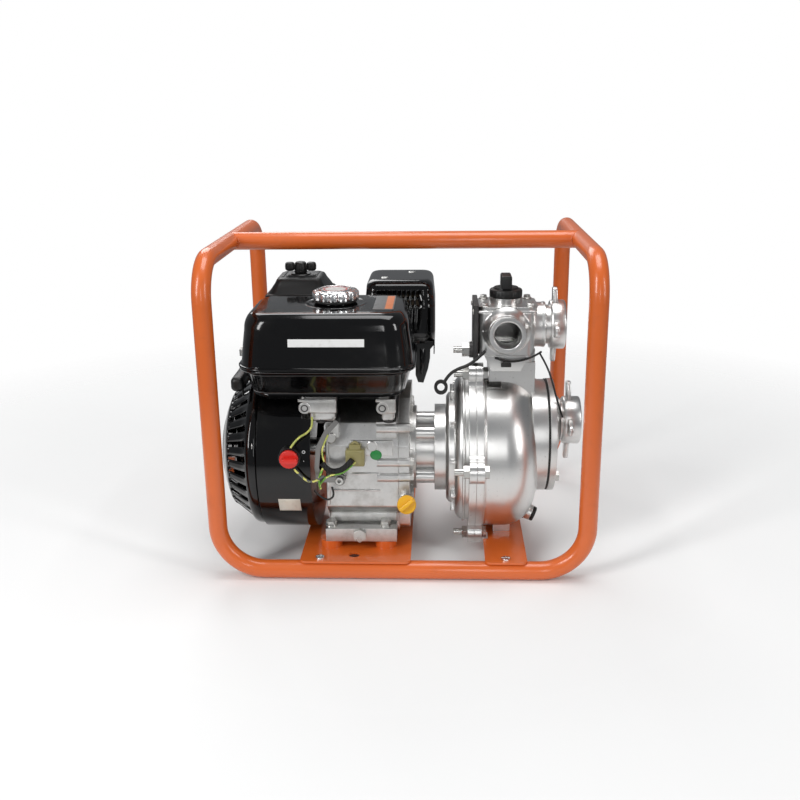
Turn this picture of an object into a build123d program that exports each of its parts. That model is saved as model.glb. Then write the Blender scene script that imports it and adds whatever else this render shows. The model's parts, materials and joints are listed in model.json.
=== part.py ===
from build123d import *
import os
from math import cos, pi, radians, sin, sqrt, tan

# Portable engine-driven fire pump in a tubular carrying frame.
# Millimetres.  +X runs along the crankshaft from the starter to the pump,
# +Y runs away from the control side, +Z is up.  The origin is the bottom centre.

# ---------------------------------------------------------------- driving sizes
TUBE_R = 12.5
TUBE_WALL = 2.0
FRAME_X = 249.4          # tube centres, half width
FRAME_Y = 196.1          # tube centres, half depth
FRAME_TOP = 433.3        # centre height of the top tubes
BEND_LOW = 63.0
BEND_TOP = 50.0

PLATE_T = 3.0
PLATE_Z = 2 * TUBE_R     # the plates lie on the bottom rails
PLATE_TOP = PLATE_Z + PLATE_T
PLATE_Y = 205.0          # half length of both plates
ENGINE_PLATE_X = (-139.0, 12.0)
PUMP_PLATE_X = (113.0, 170.0)
SCREW_X = (-112.0, 141.0)

ENGINE_BASE = 39.0
CRANK_Y = -70.0
CRANK_Z = ENGINE_BASE + 106.0
FOOT_X = (-100.0, -24.0)
FOOT_Y = (-151.0, 11.0)
FOOT_TOP = 58.0
TILT = 25.0              # cylinder above the horizontal
BORE_R = 34.0
DECK = 118.0             # crank axis to head face
CYL_X = -56.0            # cylinder axis along the crank
HOUSING_X = (-195.0, -122.0)
HOUSING_R = 114.0
RECOIL_R = 110.0
SHAFT_R = 10.0
GOVERNOR = (-84.5, 132.6)    # x, z of the governor shaft
SWITCH = (-149.0, 171.0)     # x, z of the engine switch
THROTTLE = (-172.0, 8.0)     # x, y of the throttle lever pivot
OIL_FILLER = (6.5, -150.0, 93.0)
OIL_FILLER_AXIS = (0, -1, 0.25)
COVER_BOSSES = ((-155.0, 203.0), (-155.0, 154.0), (-155.0, 132.0))   # y, z of the front cover screws
CLEANER = (-156.0, 40.0)     # x, y of the air cleaner stud
CARB_Y = 66.0
CARB_Z = 222.0
CHOKE = (-158.0, 232.0)      # x, z of the choke spindle
FUEL_TAP = (-152.0, 206.0)   # x, z of the fuel tap spindle
ROPE_X = -225.0              # starter rope
ROPE_Y = CRANK_Y - 28.0
LEG_CIRCLE = 46.0            # engine to pump adapter screws
LEG_ANGLES = [45 + 90 * i for i in range(4)]
CASTING_EDGE = 6.0
FIT = 0.05               # radial running clearance

TANK_FLOOR = 247.0
TANK_SEAM = 291.0
TANK_TOP = 365.0
TANK_CAP = (-89.0, -105.0)
BRACKET_SPANS = ((-138.0, -85.0), (-34.0, -7.0))

PUMP_R = 114.0           # casing joint flange
DOME_R = 112.0
JOINT_X = 101.0
BOLT_CIRCLE = 122.0
BOLT_ANGLES = [-68 + 72 * i for i in range(5)]   # from straight ahead, upwards
SUCTION_Z = 186.4
SUCTION_FLANGE_Z = 165.0
SUCTION_FLANGE_R = 80.0
CHAMBER_X = (104.0, 180.0)
CHAMBER_Z = (292.0, 350.0)
OUTLET_X = 141.5
OUTLET_Z = 326.0
FRONT_OUTLET_R = 23.9    # 1 1/2 inch pipe thread
SIDE_STUD = (-94.0, 296.0)   # y, z of the stud holding the dark side plate
NECK_R = 27.0
THREAD_R = 29.9          # 2 inch pipe thread in the ring nuts

parts = {}


# ---------------------------------------------------------------- helpers
def box(x0, x1, y0, y1, z0, z1):
    return Pos((x0 + x1) / 2, (y0 + y1) / 2, (z0 + z1) / 2) * Box(x1 - x0, y1 - y0, z1 - z0)


def rod_x(r, x0, x1, y=CRANK_Y, z=CRANK_Z):
    return Pos((x0 + x1) / 2, y, z) * Rot(0, 90, 0) * Cylinder(r, x1 - x0)


def rod_y(r, y0, y1, x, z):
    return Pos(x, (y0 + y1) / 2, z) * Rot(90, 0, 0) * Cylinder(r, y1 - y0)


def rod_z(r, z0, z1, x, y):
    return Pos(x, y, (z0 + z1) / 2) * Cylinder(r, z1 - z0)


def turned_x(profile, rounds=(), y=CRANK_Y, z=CRANK_Z):
    """Solid of revolution about an X axis from (x, radius) points; rounds lists (x, radius, fillet)."""
    face = make_face(Polyline(*profile, close=True))
    for x, r, size in rounds:
        face = fillet(face.vertices().sort_by_distance((x, r, 0))[0], size)
    plane = Plane(origin=(0, y, z), x_dir=(1, 0, 0), z_dir=(0, -1, 0))
    return revolve(plane * face, axis=Axis((0, y, z), (1, 0, 0)))


def yz_prism(points, x0, x1, corner=0.0):
    """Prism along X from (y, z) points."""
    face = make_face(Polyline(*points, close=True))
    if corner:
        face = fillet(face.vertices(), corner)
    return Pos(x0, 0, 0) * extrude(Plane.YZ * face, x1 - x0)


def hex_bolt(head_at, axis, across, head_h, shank_r, shank_l):
    """Hexagon head at head_at with its shank running along axis."""
    plane = Plane(origin=head_at, z_dir=axis)
    head = extrude(plane * RegularPolygon(across / 2, 6, major_radius=False), -head_h)
    shank = extrude(plane * Circle(shank_r), shank_l)
    return head + shank


def hex_nut(at, axis, across, height, hole_r):
    plane = Plane(origin=at, z_dir=axis)
    outline = RegularPolygon(across / 2, 6, major_radius=False) - Circle(hole_r)
    return extrude(plane * outline, height)


def tube_along(points, radii, r):
    """Round cord along straight runs joined by tangent arcs."""
    path = FilletPolyline(*points, radius=radii)
    start = Plane(origin=path @ 0, z_dir=path % 0)
    cord = sweep(start * Circle(r), path=path)
    expected = pi * r * r * path.length
    print("cord length %.1f radii %s volume ratio %.4f"
          % (path.length, [round(v, 1) for v in radii], cord.volume / expected))
    return cord


def arc_radii(points, share=0.45):
    """Largest tangent arc at each inner corner of a route."""
    radii = []
    for a, b, c in zip(points, points[1:], points[2:]):
        into = Vector(*b) - Vector(*a)
        out = Vector(*c) - Vector(*b)
        turn = radians(into.get_angle(out))
        radii.append(share * min(into.length, out.length) / tan(turn / 2))
    return radii


def polar_point(angle, radius, x, y=CRANK_Y, z=CRANK_Z):
    """Point about the crank axis: 0 degrees is straight ahead, 90 is up."""
    return (x, y - radius * cos(radians(angle)), z + radius * sin(radians(angle)))


def head_space(across, length, x=0.0):
    """Location in the tilted cylinder frame: local z along the cylinder, y downwards."""
    plane = Plane(origin=(CYL_X, CRANK_Y, CRANK_Z), x_dir=(1, 0, 0),
                  z_dir=(0, cos(radians(TILT)), sin(radians(TILT))))
    return plane.location * Pos(x, -across, length)


def rounded_box(x0, x1, y0, y1, z0, z1, upright=0.0, top=0.0):
    """Box with rounded upright edges and rounded top edges."""
    solid = box(x0, x1, y0, y1, z0, z1)
    if upright:
        solid = fillet(solid.edges().filter_by(Axis.Z), upright)
    if top:
        solid = fillet(solid.faces().sort_by(Axis.Z)[-1].edges(), top)
    return solid


# ---------------------------------------------------------------- carrying frame
def frame_hoop(side):
    """Bent tube: top side, upright, bottom rail, upright, top side. side is -1 front, 1 rear."""
    points = [
        (-FRAME_X, 0, FRAME_TOP),
        (-FRAME_X, side * FRAME_Y, FRAME_TOP),
        (-FRAME_X, side * FRAME_Y, TUBE_R),
        (FRAME_X, side * FRAME_Y, TUBE_R),
        (FRAME_X, side * FRAME_Y, FRAME_TOP),
        (FRAME_X, 0, FRAME_TOP),
    ]
    path = FilletPolyline(*points, radius=[BEND_TOP, BEND_LOW, BEND_LOW, BEND_TOP])
    start = Plane(origin=path @ 0, z_dir=path % 0)
    tube = sweep(start * Circle(TUBE_R), path=path)
    bore = sweep(start * Circle(TUBE_R - TUBE_WALL), path=path)
    hoop = tube - bore
    for x in SCREW_X:
        hoop -= rod_z(3.1, TUBE_R, 2 * TUBE_R + 1, x, side * FRAME_Y)
    return hoop


def carrying_frame():
    parts["frame_front_hoop"] = frame_hoop(-1)
    parts["frame_rear_hoop"] = frame_hoop(1)
    bar = Pos(0, 0, FRAME_TOP) * Rot(0, 90, 0) * Cylinder(TUBE_R, 2 * FRAME_X)
    bar -= Pos(0, 0, FRAME_TOP) * Rot(0, 90, 0) * Cylinder(TUBE_R - TUBE_WALL, 2 * FRAME_X + 2)
    for x in (-FRAME_X, FRAME_X):
        bar -= rod_y(TUBE_R, -40, 40, x, FRAME_TOP)
    parts["top_bar"] = bar


def plate_with_screw_holes(x_range, screw_x):
    plate = rounded_box(*x_range, -PLATE_Y, PLATE_Y, PLATE_Z, PLATE_TOP, upright=8)
    for side in (-1, 1):
        plate -= rod_z(3.3, PLATE_Z - 1, PLATE_TOP + 1, screw_x, side * FRAME_Y)
    return plate


def mounting_plates():
    plate = plate_with_screw_holes(ENGINE_PLATE_X, SCREW_X[0])
    plate -= rod_z(7.5, PLATE_Z - 1, PLATE_TOP + 1, -66, -184)
    for x in FOOT_X:
        for y in FOOT_Y:
            plate += rod_z(15, PLATE_TOP, ENGINE_BASE, x, y)
            plate -= rod_z(4.3, PLATE_Z - 1, ENGINE_BASE + 1, x, y)
    parts["engine_plate"] = plate

    plate = plate_with_screw_holes(PUMP_PLATE_X, SCREW_X[1])
    plate -= rod_z(4.3, PLATE_Z - 1, PLATE_TOP + 1, 141, CRANK_Y)
    lug_y = polar_point(BOLT_ANGLES[0], BOLT_CIRCLE, 0)[1]
    edge = PUMP_PLATE_X[0]
    plate -= box(edge - 1, edge + 7, lug_y - 14, lug_y + 14, PLATE_Z - 1, PLATE_TOP + 1)
    parts["pump_plate"] = plate

    screws = []
    for x in SCREW_X:
        for side in (-1, 1):
            screw = rod_z(6, PLATE_TOP, PLATE_TOP + 3.2, x, side * FRAME_Y)
            screw -= box(x - 7, x + 7, side * FRAME_Y - 0.8, side * FRAME_Y + 0.8,
                         PLATE_TOP + 1.6, PLATE_TOP + 4)
            screws.append(screw + rod_z(3, TUBE_R + 6, PLATE_TOP, x, side * FRAME_Y))
    parts["plate_screws"] = Compound(screws)


# ---------------------------------------------------------------- engine block
def crankcase():
    outline = [(-138, ENGINE_BASE + 4), (-138, 72), (-158, 88), (-158, 178), (-142, 206), (-96, 229),
               (-38, 236), (0, 230.8), (42, 143.8), (22, 100), (-1, 72), (-1, ENGINE_BASE + 4)]
    body = yz_prism(outline, -104, -5, corner=CASTING_EDGE)
    for y, z in COVER_BOSSES:
        body += rod_x(7, -34, -5, y, z)
    block = head_space(0, DECK / 2 + 20) * Box(96, 96, DECK - 40)
    for i in range(5):
        ring = Box(110, 110, 3.5) - Box(82, 82, 5)
        block -= head_space(0, DECK - 8 - 8 * i) * ring
    body += block & yz_prism([(-20, 60), (-60, 320), (140, 320), (140, 60)], -104, -5)
    for y0, y1 in ((-165, -136), (-2, 27)):
        body += box(-106.7, -8, y0, y1, ENGINE_BASE, FOOT_TOP)
    sump = yz_prism([(-131, 64), (-131, 76), (-151, 92), (-151, 176), (-136, 200), (-94, 222),
                     (-40, 228), (-14, 226), (-14, 64)], -98, -4)
    body -= sump
    body -= head_space(0, DECK / 2 + 20) * Cylinder(BORE_R, DECK)
    body -= rod_x(13 + FIT, -105, -97)
    for x in FOOT_X:
        for y in FOOT_Y:
            body -= rod_z(4.3, ENGINE_BASE - 1, FOOT_TOP + 1, x, y)
    body -= rod_y(6.2, -166, -140, -59, 50)
    for x0, x1 in BRACKET_SPANS:
        body += box(max(x0, -103), x1, -158, -134, 190, 212)
    for y, z in COVER_BOSSES:
        body -= rod_x(3.05, -26, -4, y, z)
    body += rod_y(9, -163, -156, *GOVERNOR)
    body -= rod_y(4 + FIT, -164, -150, *GOVERNOR)
    parts["crankcase"] = body


def engine_side_cover():
    outline = [(-137, ENGINE_BASE + 8), (-137, 74), (-157, 90), (-157, 176), (-141, 204), (-96, 227),
               (-38, 233), (0, 226), (5, 150), (4, 100), (-2, 74), (-2, ENGINE_BASE + 8)]
    cover = yz_prism(outline, -4.8, 10, corner=7)
    cover += rod_x(60, 10, 18)
    cover -= rod_x(50, -5, 6)
    cover -= rod_x(SHAFT_R + 0.06, -6, 19)
    for y, z in COVER_BOSSES:
        cover += rod_x(7, -4.8, 11, y, z)
        cover -= rod_x(3.05, -5, 12, y, z)
    boss = Plane(origin=OIL_FILLER, x_dir=(1, 0, 0), z_dir=OIL_FILLER_AXIS)
    cover += extrude(boss * Circle(11.5), 22)
    cover -= extrude(boss * Circle(8.6), 23)
    for angle in LEG_ANGLES:
        at = polar_point(angle, LEG_CIRCLE, 0)
        cover -= rod_x(4.2, 0, 19, at[1], at[2])
    parts["engine_side_cover"] = cover


def cylinder_end():
    head = head_space(0, DECK + 27) * Box(94, 92, 54)
    for i in range(5):
        ring = Box(110, 110, 3.5) - Box(76, 72, 5)
        head -= head_space(0, DECK + 8 + 9 * i) * ring
    head -= head_space(0, DECK) * Cylinder(BORE_R - 4, 12)
    head += rod_x(17, -108, -90, CARB_Y, CARB_Z)
    head -= rod_x(10, -109, -70, CARB_Y, CARB_Z)
    head += rod_z(17, 235, 272, -20, 48)
    head -= rod_z(12, 222, 273, -20, 48)
    plug_at = head_space(47, DECK + 30, -28)
    head -= plug_at * Rot(90, 0, 0) * Cylinder(5.1, 50)
    parts["cylinder_head"] = head

    cover = fillet((head_space(0, DECK + 54 + 15.1) * Box(84, 74, 30)).edges(), 6)
    parts["rocker_cover"] = cover - head_space(0, DECK + 54 + 8) * Box(76, 66, 22)

    piston = Cylinder(BORE_R - FIT, 44) - Pos(0, 0, -6) * Cylinder(BORE_R - 5, 36)
    for z in (10, 15, 19):
        piston -= Pos(0, 0, z) * (Cylinder(BORE_R + 1, 1.5) - Cylinder(BORE_R - 2, 2))
    piston += Rot(0, 90, 0) * Cylinder(9, 60)
    parts["piston"] = head_space(0, DECK - 24) * piston


def spark_plug_and_lead():
    seat = head_space(47, DECK + 30, -28)
    plug = Rot(90, 0, 0) * Cylinder(5, 44)
    plug += Pos(0, -8, 0) * Rot(90, 0, 0) * extrude(RegularPolygon(9, 6), 7)
    parts["spark_plug"] = seat * plug

    tip = seat * Pos(0, -36, 0)
    cap = tip * Rot(90, 0, 0) * Cylinder(9, 26)
    cap -= seat * Rot(90, 0, 0) * Cylinder(5.3, 60)
    end = tip.position
    cap_top = (end.X - 9, end.Y - 3, end.Z + 5)
    route = [cap_top, (-104, 14, 292), (-126, 2, 289), (-143, -4, 276), (-150, -7, 256)]
    lead = tube_along(route, arc_radii(route), 3.0)
    parts["spark_plug_lead"] = Compound([cap, lead - cap])


# ---------------------------------------------------------------- cooling and starter
def blower_housing():
    def outline(shrink):
        """Fan scroll with a flat under the tank and a duct towards the cylinder."""
        flat = 243.5 - shrink
        scroll = Pos(CRANK_Y, CRANK_Z) * Circle(HOUSING_R - shrink)
        scroll -= Pos(CRANK_Y, flat + 50) * Rectangle(300, 100)
        duct = [(CRANK_Y, flat), (-26 + shrink, flat), (-14 + shrink, 259 - shrink), (0, 259 - shrink),
                (42 - shrink, 225), (44 - shrink, 120), (10, 70), (CRANK_Y, CRANK_Z)]
        return scroll + make_face(Polyline(*duct, close=True))

    shell = Pos(HOUSING_X[0], 0, 0) * extrude(Plane.YZ * outline(0), HOUSING_X[1] - HOUSING_X[0])
    depth = HOUSING_X[1] - HOUSING_X[0] - 1.5
    shell -= Pos(HOUSING_X[0] - 1, 0, 0) * extrude(Plane.YZ * outline(2.5), depth)
    shell -= rod_x(48, HOUSING_X[1] - 4, HOUSING_X[1] + 1)
    shell -= box(HOUSING_X[1] - 4, HOUSING_X[1] + 1, -60, 38, 160, 225)
    shell -= rod_z(4.6, 250, 262, -149, -7)
    parts["blower_housing"] = shell

    stay = rounded_box(-192, -160, -8, 26, 259, 262, upright=5)
    parts["control_bracket"] = stay + rod_z(5, 262, 268, *THROTTLE)


def recoil_cover():
    outer = [(-195.3, RECOIL_R), (-206, RECOIL_R), (-242, 82), (-256, 50), (-256, 0)]
    inner = [(-253.5, 0), (-253.5, 49), (-239.7, 80.5), (-205, 107.5), (-195.3, 107.5)]
    cover = turned_x(outer + inner, [(-206, RECOIL_R, 14), (-242, 82, 20), (-256, 50, 12),
                                     (-239.7, 80.5, 17), (-205, 107.5, 11)])
    for i in range(24):
        slot = Rot(15 * i, 0, 0) * Pos(-221, 0, 95) * Rot(0, -35, 0) * Box(34, 7, 14)
        if abs(15 * i - 345) > 16:
            cover -= Pos(0, CRANK_Y, CRANK_Z) * slot
    cover += rod_x(8, -254, -211)
    cover -= rod_z(4, 200, 262, ROPE_X, ROPE_Y)
    parts["recoil_cover"] = cover

    pulley = rod_x(36, -232.5, -217.5) - (rod_x(37, -229.5, -220.5) - rod_x(26, -230, -220))
    parts["starter_pulley"] = pulley - rod_x(8 + FIT, -233, -217)

    grip = Pos(ROPE_X - 0.5, ROPE_Y, 256) * Box(18, 70, 20)
    grip = fillet(grip.edges(), 7)
    rope = rod_z(1.75, 125, 250, ROPE_X, ROPE_Y)
    parts["starter_grip"] = Compound([grip, rope - grip])


def rotating_group():
    shaft = rod_x(13, -200, -98) + rod_x(SHAFT_R, -14, 116)
    shaft += rod_x(13, -98, -78) + rod_x(13, -30, -14)
    pin = head_space(0, 27).position
    for x0, x1 in ((-82, -68), (-42, -28)):
        web = rod_x(36, x0, x1)
        web &= head_space(0, 0) * Pos((x0 + x1) / 2 - CYL_X, 0, -2) * Box(x1 - x0, 52, 86)
        shaft += web
        shaft += rod_x(20, x0, x1, pin.Y, pin.Z)
    shaft += rod_x(15, -70, -40, pin.Y, pin.Z)
    parts["crankshaft"] = shaft

    wheel = rod_x(86, -168, -142) - (rod_x(76, -160, -141) - rod_x(24, -162, -141))
    for i in range(14):
        fin = Rot(360 / 14 * i, 0, 0) * Pos(-175, 0, 64) * Rot(0, 0, 28) * Box(16, 2.5, 38)
        wheel += Pos(0, CRANK_Y, CRANK_Z) * fin
    wheel += rod_x(34, -196, -166) - rod_x(28, -197, -172)
    parts["flywheel"] = wheel - rod_x(13, -200, -141)

    coil = box(-168, -146, -23, 23, 91, 102)
    coil += box(-164, -150, -19, -11, 87, 92) + box(-164, -150, 11, 19, 87, 92)
    parts["ignition_coil"] = Pos(0, CRANK_Y, CRANK_Z) * Rot(-50, 0, 0) * coil

    hub = rod_x(18, 104, 126) + rod_x(70, 112, 116)
    for i in range(6):
        vane = Rot(60 * i, 0, 0) * Pos(121, 0, 44) * Rot(32, 0, 0) * Box(10, 3, 46)
        hub += Pos(0, CRANK_Y, CRANK_Z) * vane
    parts["impeller"] = hub - rod_x(SHAFT_R, 100, 116)


# ---------------------------------------------------------------- intake and exhaust
def carburettor():
    body = rod_x(19, -172, -109, CARB_Y, CARB_Z)
    body += rod_z(21, 176, 204, -142, CARB_Y) + box(-160, -124, 48, 88, 200, 212)
    body -= rod_x(10, -173, -108, CARB_Y, CARB_Z)
    body -= rod_y(3.05, 70, 100, *CHOKE)
    body -= rod_y(3.05, 80, 92, *FUEL_TAP)
    parts["carburettor"] = body

    x, z = CHOKE
    choke = box(x - 32, x, 89.5, 92.5, z - 4, z + 4) + rod_y(7, 89.5, 92.5, x, z)
    choke += rod_y(3, 76, 92.5, x, z)
    parts["choke_lever"] = choke + box(x - 38, x - 28, 84, 100, z - 6, z + 6)

    x, z = FUEL_TAP
    valve = box(x - 30, x, 89.5, 92.5, z - 4, z + 4) + rod_y(6.5, 89.5, 92.5, x, z)
    valve += rod_y(3, 84, 92.5, x, z)
    parts["fuel_valve_lever"] = valve + box(x - 36, x - 26, 88, 99, z - 6, z + 6)

    x, y = THROTTLE
    lever = box(x - 60, x, y - 4, y + 4, 262.3, 265.3) + rod_z(10, 262.3, 265.3, x, y)
    lever -= rod_z(5 + FIT, 260, 270, x, y)
    parts["throttle_lever"] = lever + rounded_box(x - 76, x - 50, y - 10, y + 10, 262.3, 272, upright=5)


def air_cleaner():
    elbow = rod_x(17, -198, -172.2, CARB_Y, CARB_Z) + rod_z(17, CARB_Z, 300, -190, CARB_Y)
    elbow -= rod_x(13, -190, -172, CARB_Y, CARB_Z) + rod_z(13, CARB_Z, 313, -190, CARB_Y)
    base = rounded_box(-208, -106, -8, 94, 298, 304, upright=12) - rod_z(13, 290, 313, -190, CARB_Y)
    stud = rod_z(3, 304, 384, *CLEANER)
    parts["air_cleaner_base"] = base + elbow + stud

    x, y = CLEANER

    def layer(height, width, depth, corner, wall):
        outline = RectangleRounded(width - 2 * wall, depth - 2 * wall, corner)
        return Plane.XY.offset(height) * Pos(x, y + 3) * outline

    def shell(wall, floor):
        low = layer(floor, 102, 104, 12, wall)
        mid = layer(352, 104, 106, 14, wall)
        top = layer(378 - wall, 66, 68, 12, wall)
        return loft([low, mid]) + loft([mid, top])

    cover = shell(0, 304.3) - shell(2.2, 303.3)
    cover += rod_z(9, 370, 380, x, y)
    cover -= rod_z(3.2, 360, 381, x, y)
    parts["air_cleaner_cover"] = cover

    element = rounded_box(-190, -122, 8, 78, 304.3, 352, upright=14)
    element -= rounded_box(-178, -134, 20, 66, 300, 340, upright=10)
    parts["air_filter"] = element - rod_z(4, 300, 360, x, y)

    knob = rod_z(9, 380.3, 397, x, y) + box(x - 16, x + 16, y - 5, y + 5, 384, 395)
    for side in (-1, 1):
        knob += rod_z(7.5, 384, 396, x + side * 16, y)
    parts["air_cleaner_knob"] = knob - rod_z(3 + FIT, 379, 392, x, y)


def muffler():
    body = fillet((Pos(-8, 46, 322) * Box(80, 78, 74)).edges(), 14)
    pipe = rod_z(16, 272.2, 290, -20, 48) - rod_z(11, 272, 286, -20, 48)
    outlet = rod_y(8, 80, 94, 10, 335) - rod_y(6, 82, 95, 10, 335)
    parts["muffler"] = body + pipe + outlet

    def outline(shrink):
        s = shrink
        return [(-58 + s, 300), (-58 + s, 364 - s), (-50 + s, 376 - s), (24 - s, 376 - s),
                (44 - s, 360 - s), (44 - s, 282), (37 - s, 272), (37 - s, 262)]

    def skin(shrink):
        ring = outline(shrink)
        closed = ring + [(-58 + shrink, 262)]
        face = make_face(Polyline(*closed, close=True))
        depth = 108 - 2 * shrink
        return Pos(0, -12 + shrink + depth, 0) * extrude(Plane.XZ * face, depth)

    guard = skin(0) - skin(1.6) - box(-60, 60, -20, 110, 255, 284)
    guard += box(15.4, 44, -12, -10.4, 224, 284) & box(0, 60, -20, 0, 224, 284)
    for i in range(9):
        guard -= box(-44 + 8 * i, -40 + 8 * i, -13, -9, 344, 358)
        guard -= box(-44 + 8 * i, -40 + 8 * i, 90, 100, 300, 350)
        guard -= box(40, 46, 2 + 9 * i, 7 + 9 * i, 300, 346)
    guard -= rod_y(9.5, 88, 100, 10, 335)
    parts["muffler_guard"] = guard


def fuel_tank():
    def half(plane_z, x0, x1, y0, y1, corner):
        sketch = Pos((x0 + x1) / 2, (y0 + y1) / 2) * RectangleRounded(x1 - x0, y1 - y0, corner)
        return Plane.XY.offset(plane_z) * sketch

    def upper(s):
        seam = half(TANK_SEAM + 1, -210 + s, 17 - s, -188 + s, -30 - s, 22)
        shoulder = half(TANK_TOP - 22 - s, -203 + s, 8 - s, -181 + s, -36 - s, 24)
        return loft([seam, shoulder])

    def crown(s):
        top = half(TANK_TOP - s, -191 + s, -5 - s, -165 + s, -52 - s, 18)
        shoulder = half(TANK_TOP - 22 - s, -203 + s, 8 - s, -181 + s, -36 - s, 24)
        return loft([shoulder, top])

    shell = upper(0) + crown(0) - upper(2.5) - crown(2.5)
    flange = half(TANK_SEAM + 1, -215, 20, -191, -27, 24)
    shell += extrude(flange, 3) - extrude(half(TANK_SEAM, -207, 14, -185, -33, 20), 6)
    cx, cy = TANK_CAP
    shell -= rod_z(21, TANK_TOP - 6, TANK_TOP + 6, cx, cy)
    neck = rod_z(23, TANK_TOP - 3, TANK_TOP + 4, cx, cy)
    shell += neck - rod_z(21, TANK_TOP - 6, TANK_TOP + 6, cx, cy)
    parts["fuel_tank_upper"] = shell

    def pan(s):
        low = half(TANK_FLOOR + s, -189 + s, 6 - s, -178 + s, -42 - s, 26)
        rim = half(TANK_SEAM + (0 if s == 0 else 1), -207 + s, 15 - s, -186 + s, -32 - s, 22)
        return loft([low, rim])

    tub = pan(0) - pan(2.5)
    rim = half(TANK_SEAM - 3, -215, 20, -191, -27, 24)
    tub += extrude(rim, 3.7) - extrude(half(TANK_SEAM - 4, -205, 14, -185, -33, 20), 6)
    parts["fuel_tank_lower"] = tub

    cap = extrude(Pos(cx, cy, TANK_TOP + 5) * RegularPolygon(31.5, 12), 13)
    cap = fillet(cap.faces().sort_by(Axis.Z)[-1].edges(), 2)
    cap += rod_z(22, TANK_TOP + 18, TANK_TOP + 19.5, cx, cy)
    parts["fuel_cap"] = cap - rod_z(23.4, TANK_TOP + 4, TANK_TOP + 15, cx, cy) \
        + rod_z(20, TANK_TOP - 4, TANK_TOP + 15.5, cx, cy)

    brackets = []
    for x0, x1 in BRACKET_SPANS:
        piece = box(x0, x1, -166, -130, TANK_FLOOR - 4.3, TANK_FLOOR - 0.3)
        inner = max(x0, -103)
        piece += box(inner, x1, -166, -161.5, 212, TANK_FLOOR - 0.3)
        piece += box(inner, x1, -166, -136, 212, 216)
        brackets.append(piece)
        brackets.append(hex_bolt(((x0 + x1) / 2, -146, TANK_FLOOR - 4.3), (0, 0, 1), 13, 6, 3.9, 0.1))
    parts["tank_brackets"] = Compound(brackets)


# ---------------------------------------------------------------- control side
def control_side():
    bolts = []
    for x in FOOT_X:
        for y in FOOT_Y:
            bolts.append(hex_bolt((x, y, FOOT_TOP + 1.6), (0, 0, -1), 13, 5.3, 4, 36)
                         + rod_z(8, FOOT_TOP, FOOT_TOP + 1.6, x, y))
            bolts.append(hex_nut((x, y, PLATE_Z), (0, 0, -1), 13, 6.5, 4))
    parts["oil_drain_bolt"] = hex_bolt((-59, -165, 50), (0, 1, 0), 17, 7, 6, 14)

    for y, z in COVER_BOSSES:
        bolts.append(hex_bolt((11, y, z), (-1, 0, 0), 10, 5, 3, 30))
    parts["engine_bolts"] = Compound(bolts)

    cap_plane = Plane(origin=OIL_FILLER, x_dir=(1, 0, 0), z_dir=OIL_FILLER_AXIS).offset(22.2)
    cap = extrude(cap_plane * Circle(13), 6)
    cap += extrude(cap_plane.offset(6) * Rot(0, 0, 40) * Rectangle(24, 6), 7)
    parts["oil_cap"] = cap + extrude(cap_plane.offset(-12) * Circle(8.5), 12)

    x, z = SWITCH
    mount = rod_y(15, -189, -176, x, z) - rod_x(HOUSING_R + 0.1, -200, -100)
    parts["switch_body"] = mount - rod_y(3 + FIT, -190, -180, x, z)
    knob = rod_y(12.5, -194, -189.3, x, z) + box(x - 12, x + 7, -202, -194, z - 3, z + 3)
    parts["switch_knob"] = knob + rod_y(3, -190, -182, x, z)

    bow = [(-115.5, 129), (-118.5, 150), (-115.5, 180), (-103, 204), (-88, 219),
           (-83, 215), (-97, 199), (-109, 177), (-112, 150), (-108.5, 137), (-84, 137), (-84, 129)]
    strip = make_face(Polyline(*bow, close=True))
    arm = Pos(0, -167, 0) * extrude(Plane.XZ * strip, 2.5)
    arm += rod_y(8, -169.5, -167, *GOVERNOR) + rod_y(4, -172, -152, *GOVERNOR)
    parts["governor_arm"] = arm

    unit = rounded_box(-76, -50, -170, -158.3, 152, 176, upright=2)
    parts["oil_alert_unit"] = unit + box(-70, -58, -168, -160, 176, 186)


def wiring():
    routes = [
        (4.0, [(-66, -174.6, 164), (-76, -175, 152), (-88, -175.4, 147), (-100, -175, 149),
               (-107, -174.6, 159)]),
        (1.4, [(-119, -176, 120), (-110, -175, 109), (-99, -175, 105), (-91, -174, 113), (-95, -173, 124)]),
        (1.4, [(-146, -191, 187), (-138, -187, 199), (-124, -176, 203), (-118, -171, 212),
               (-119, -168.6, 223)]),
        (1.4, [(-142, -193, 157), (-134, -190, 146), (-124, -188.5, 137), (-114, -182, 136),
               (-105, -175, 141)]),
    ]
    parts["wiring"] = Compound([tube_along(route, arc_radii(route), r) for r, route in routes])


# ---------------------------------------------------------------- pump
def pump_adapter():
    adapter = rod_x(62, 44, 60) + rod_x(39, 18, 45)
    for angle in LEG_ANGLES:
        at = polar_point(angle, LEG_CIRCLE, 0)
        adapter += rod_x(10, 18, 44, at[1], at[2])
    adapter -= rod_x(26, 17, 48) + rod_x(22, 46, 61)
    for angle in LEG_ANGLES:
        at = polar_point(angle, LEG_CIRCLE, 0)
        adapter -= rod_x(4.3, 17, 61, at[1], at[2]) + rod_x(7.6, 50, 61, at[1], at[2])
    parts["pump_adapter"] = adapter
    bolts = []
    for angle in LEG_ANGLES:
        bolts.append(hex_bolt(polar_point(angle, LEG_CIRCLE, 50), (-1, 0, 0), 12, 5, 4, 46))
    return bolts


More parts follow.
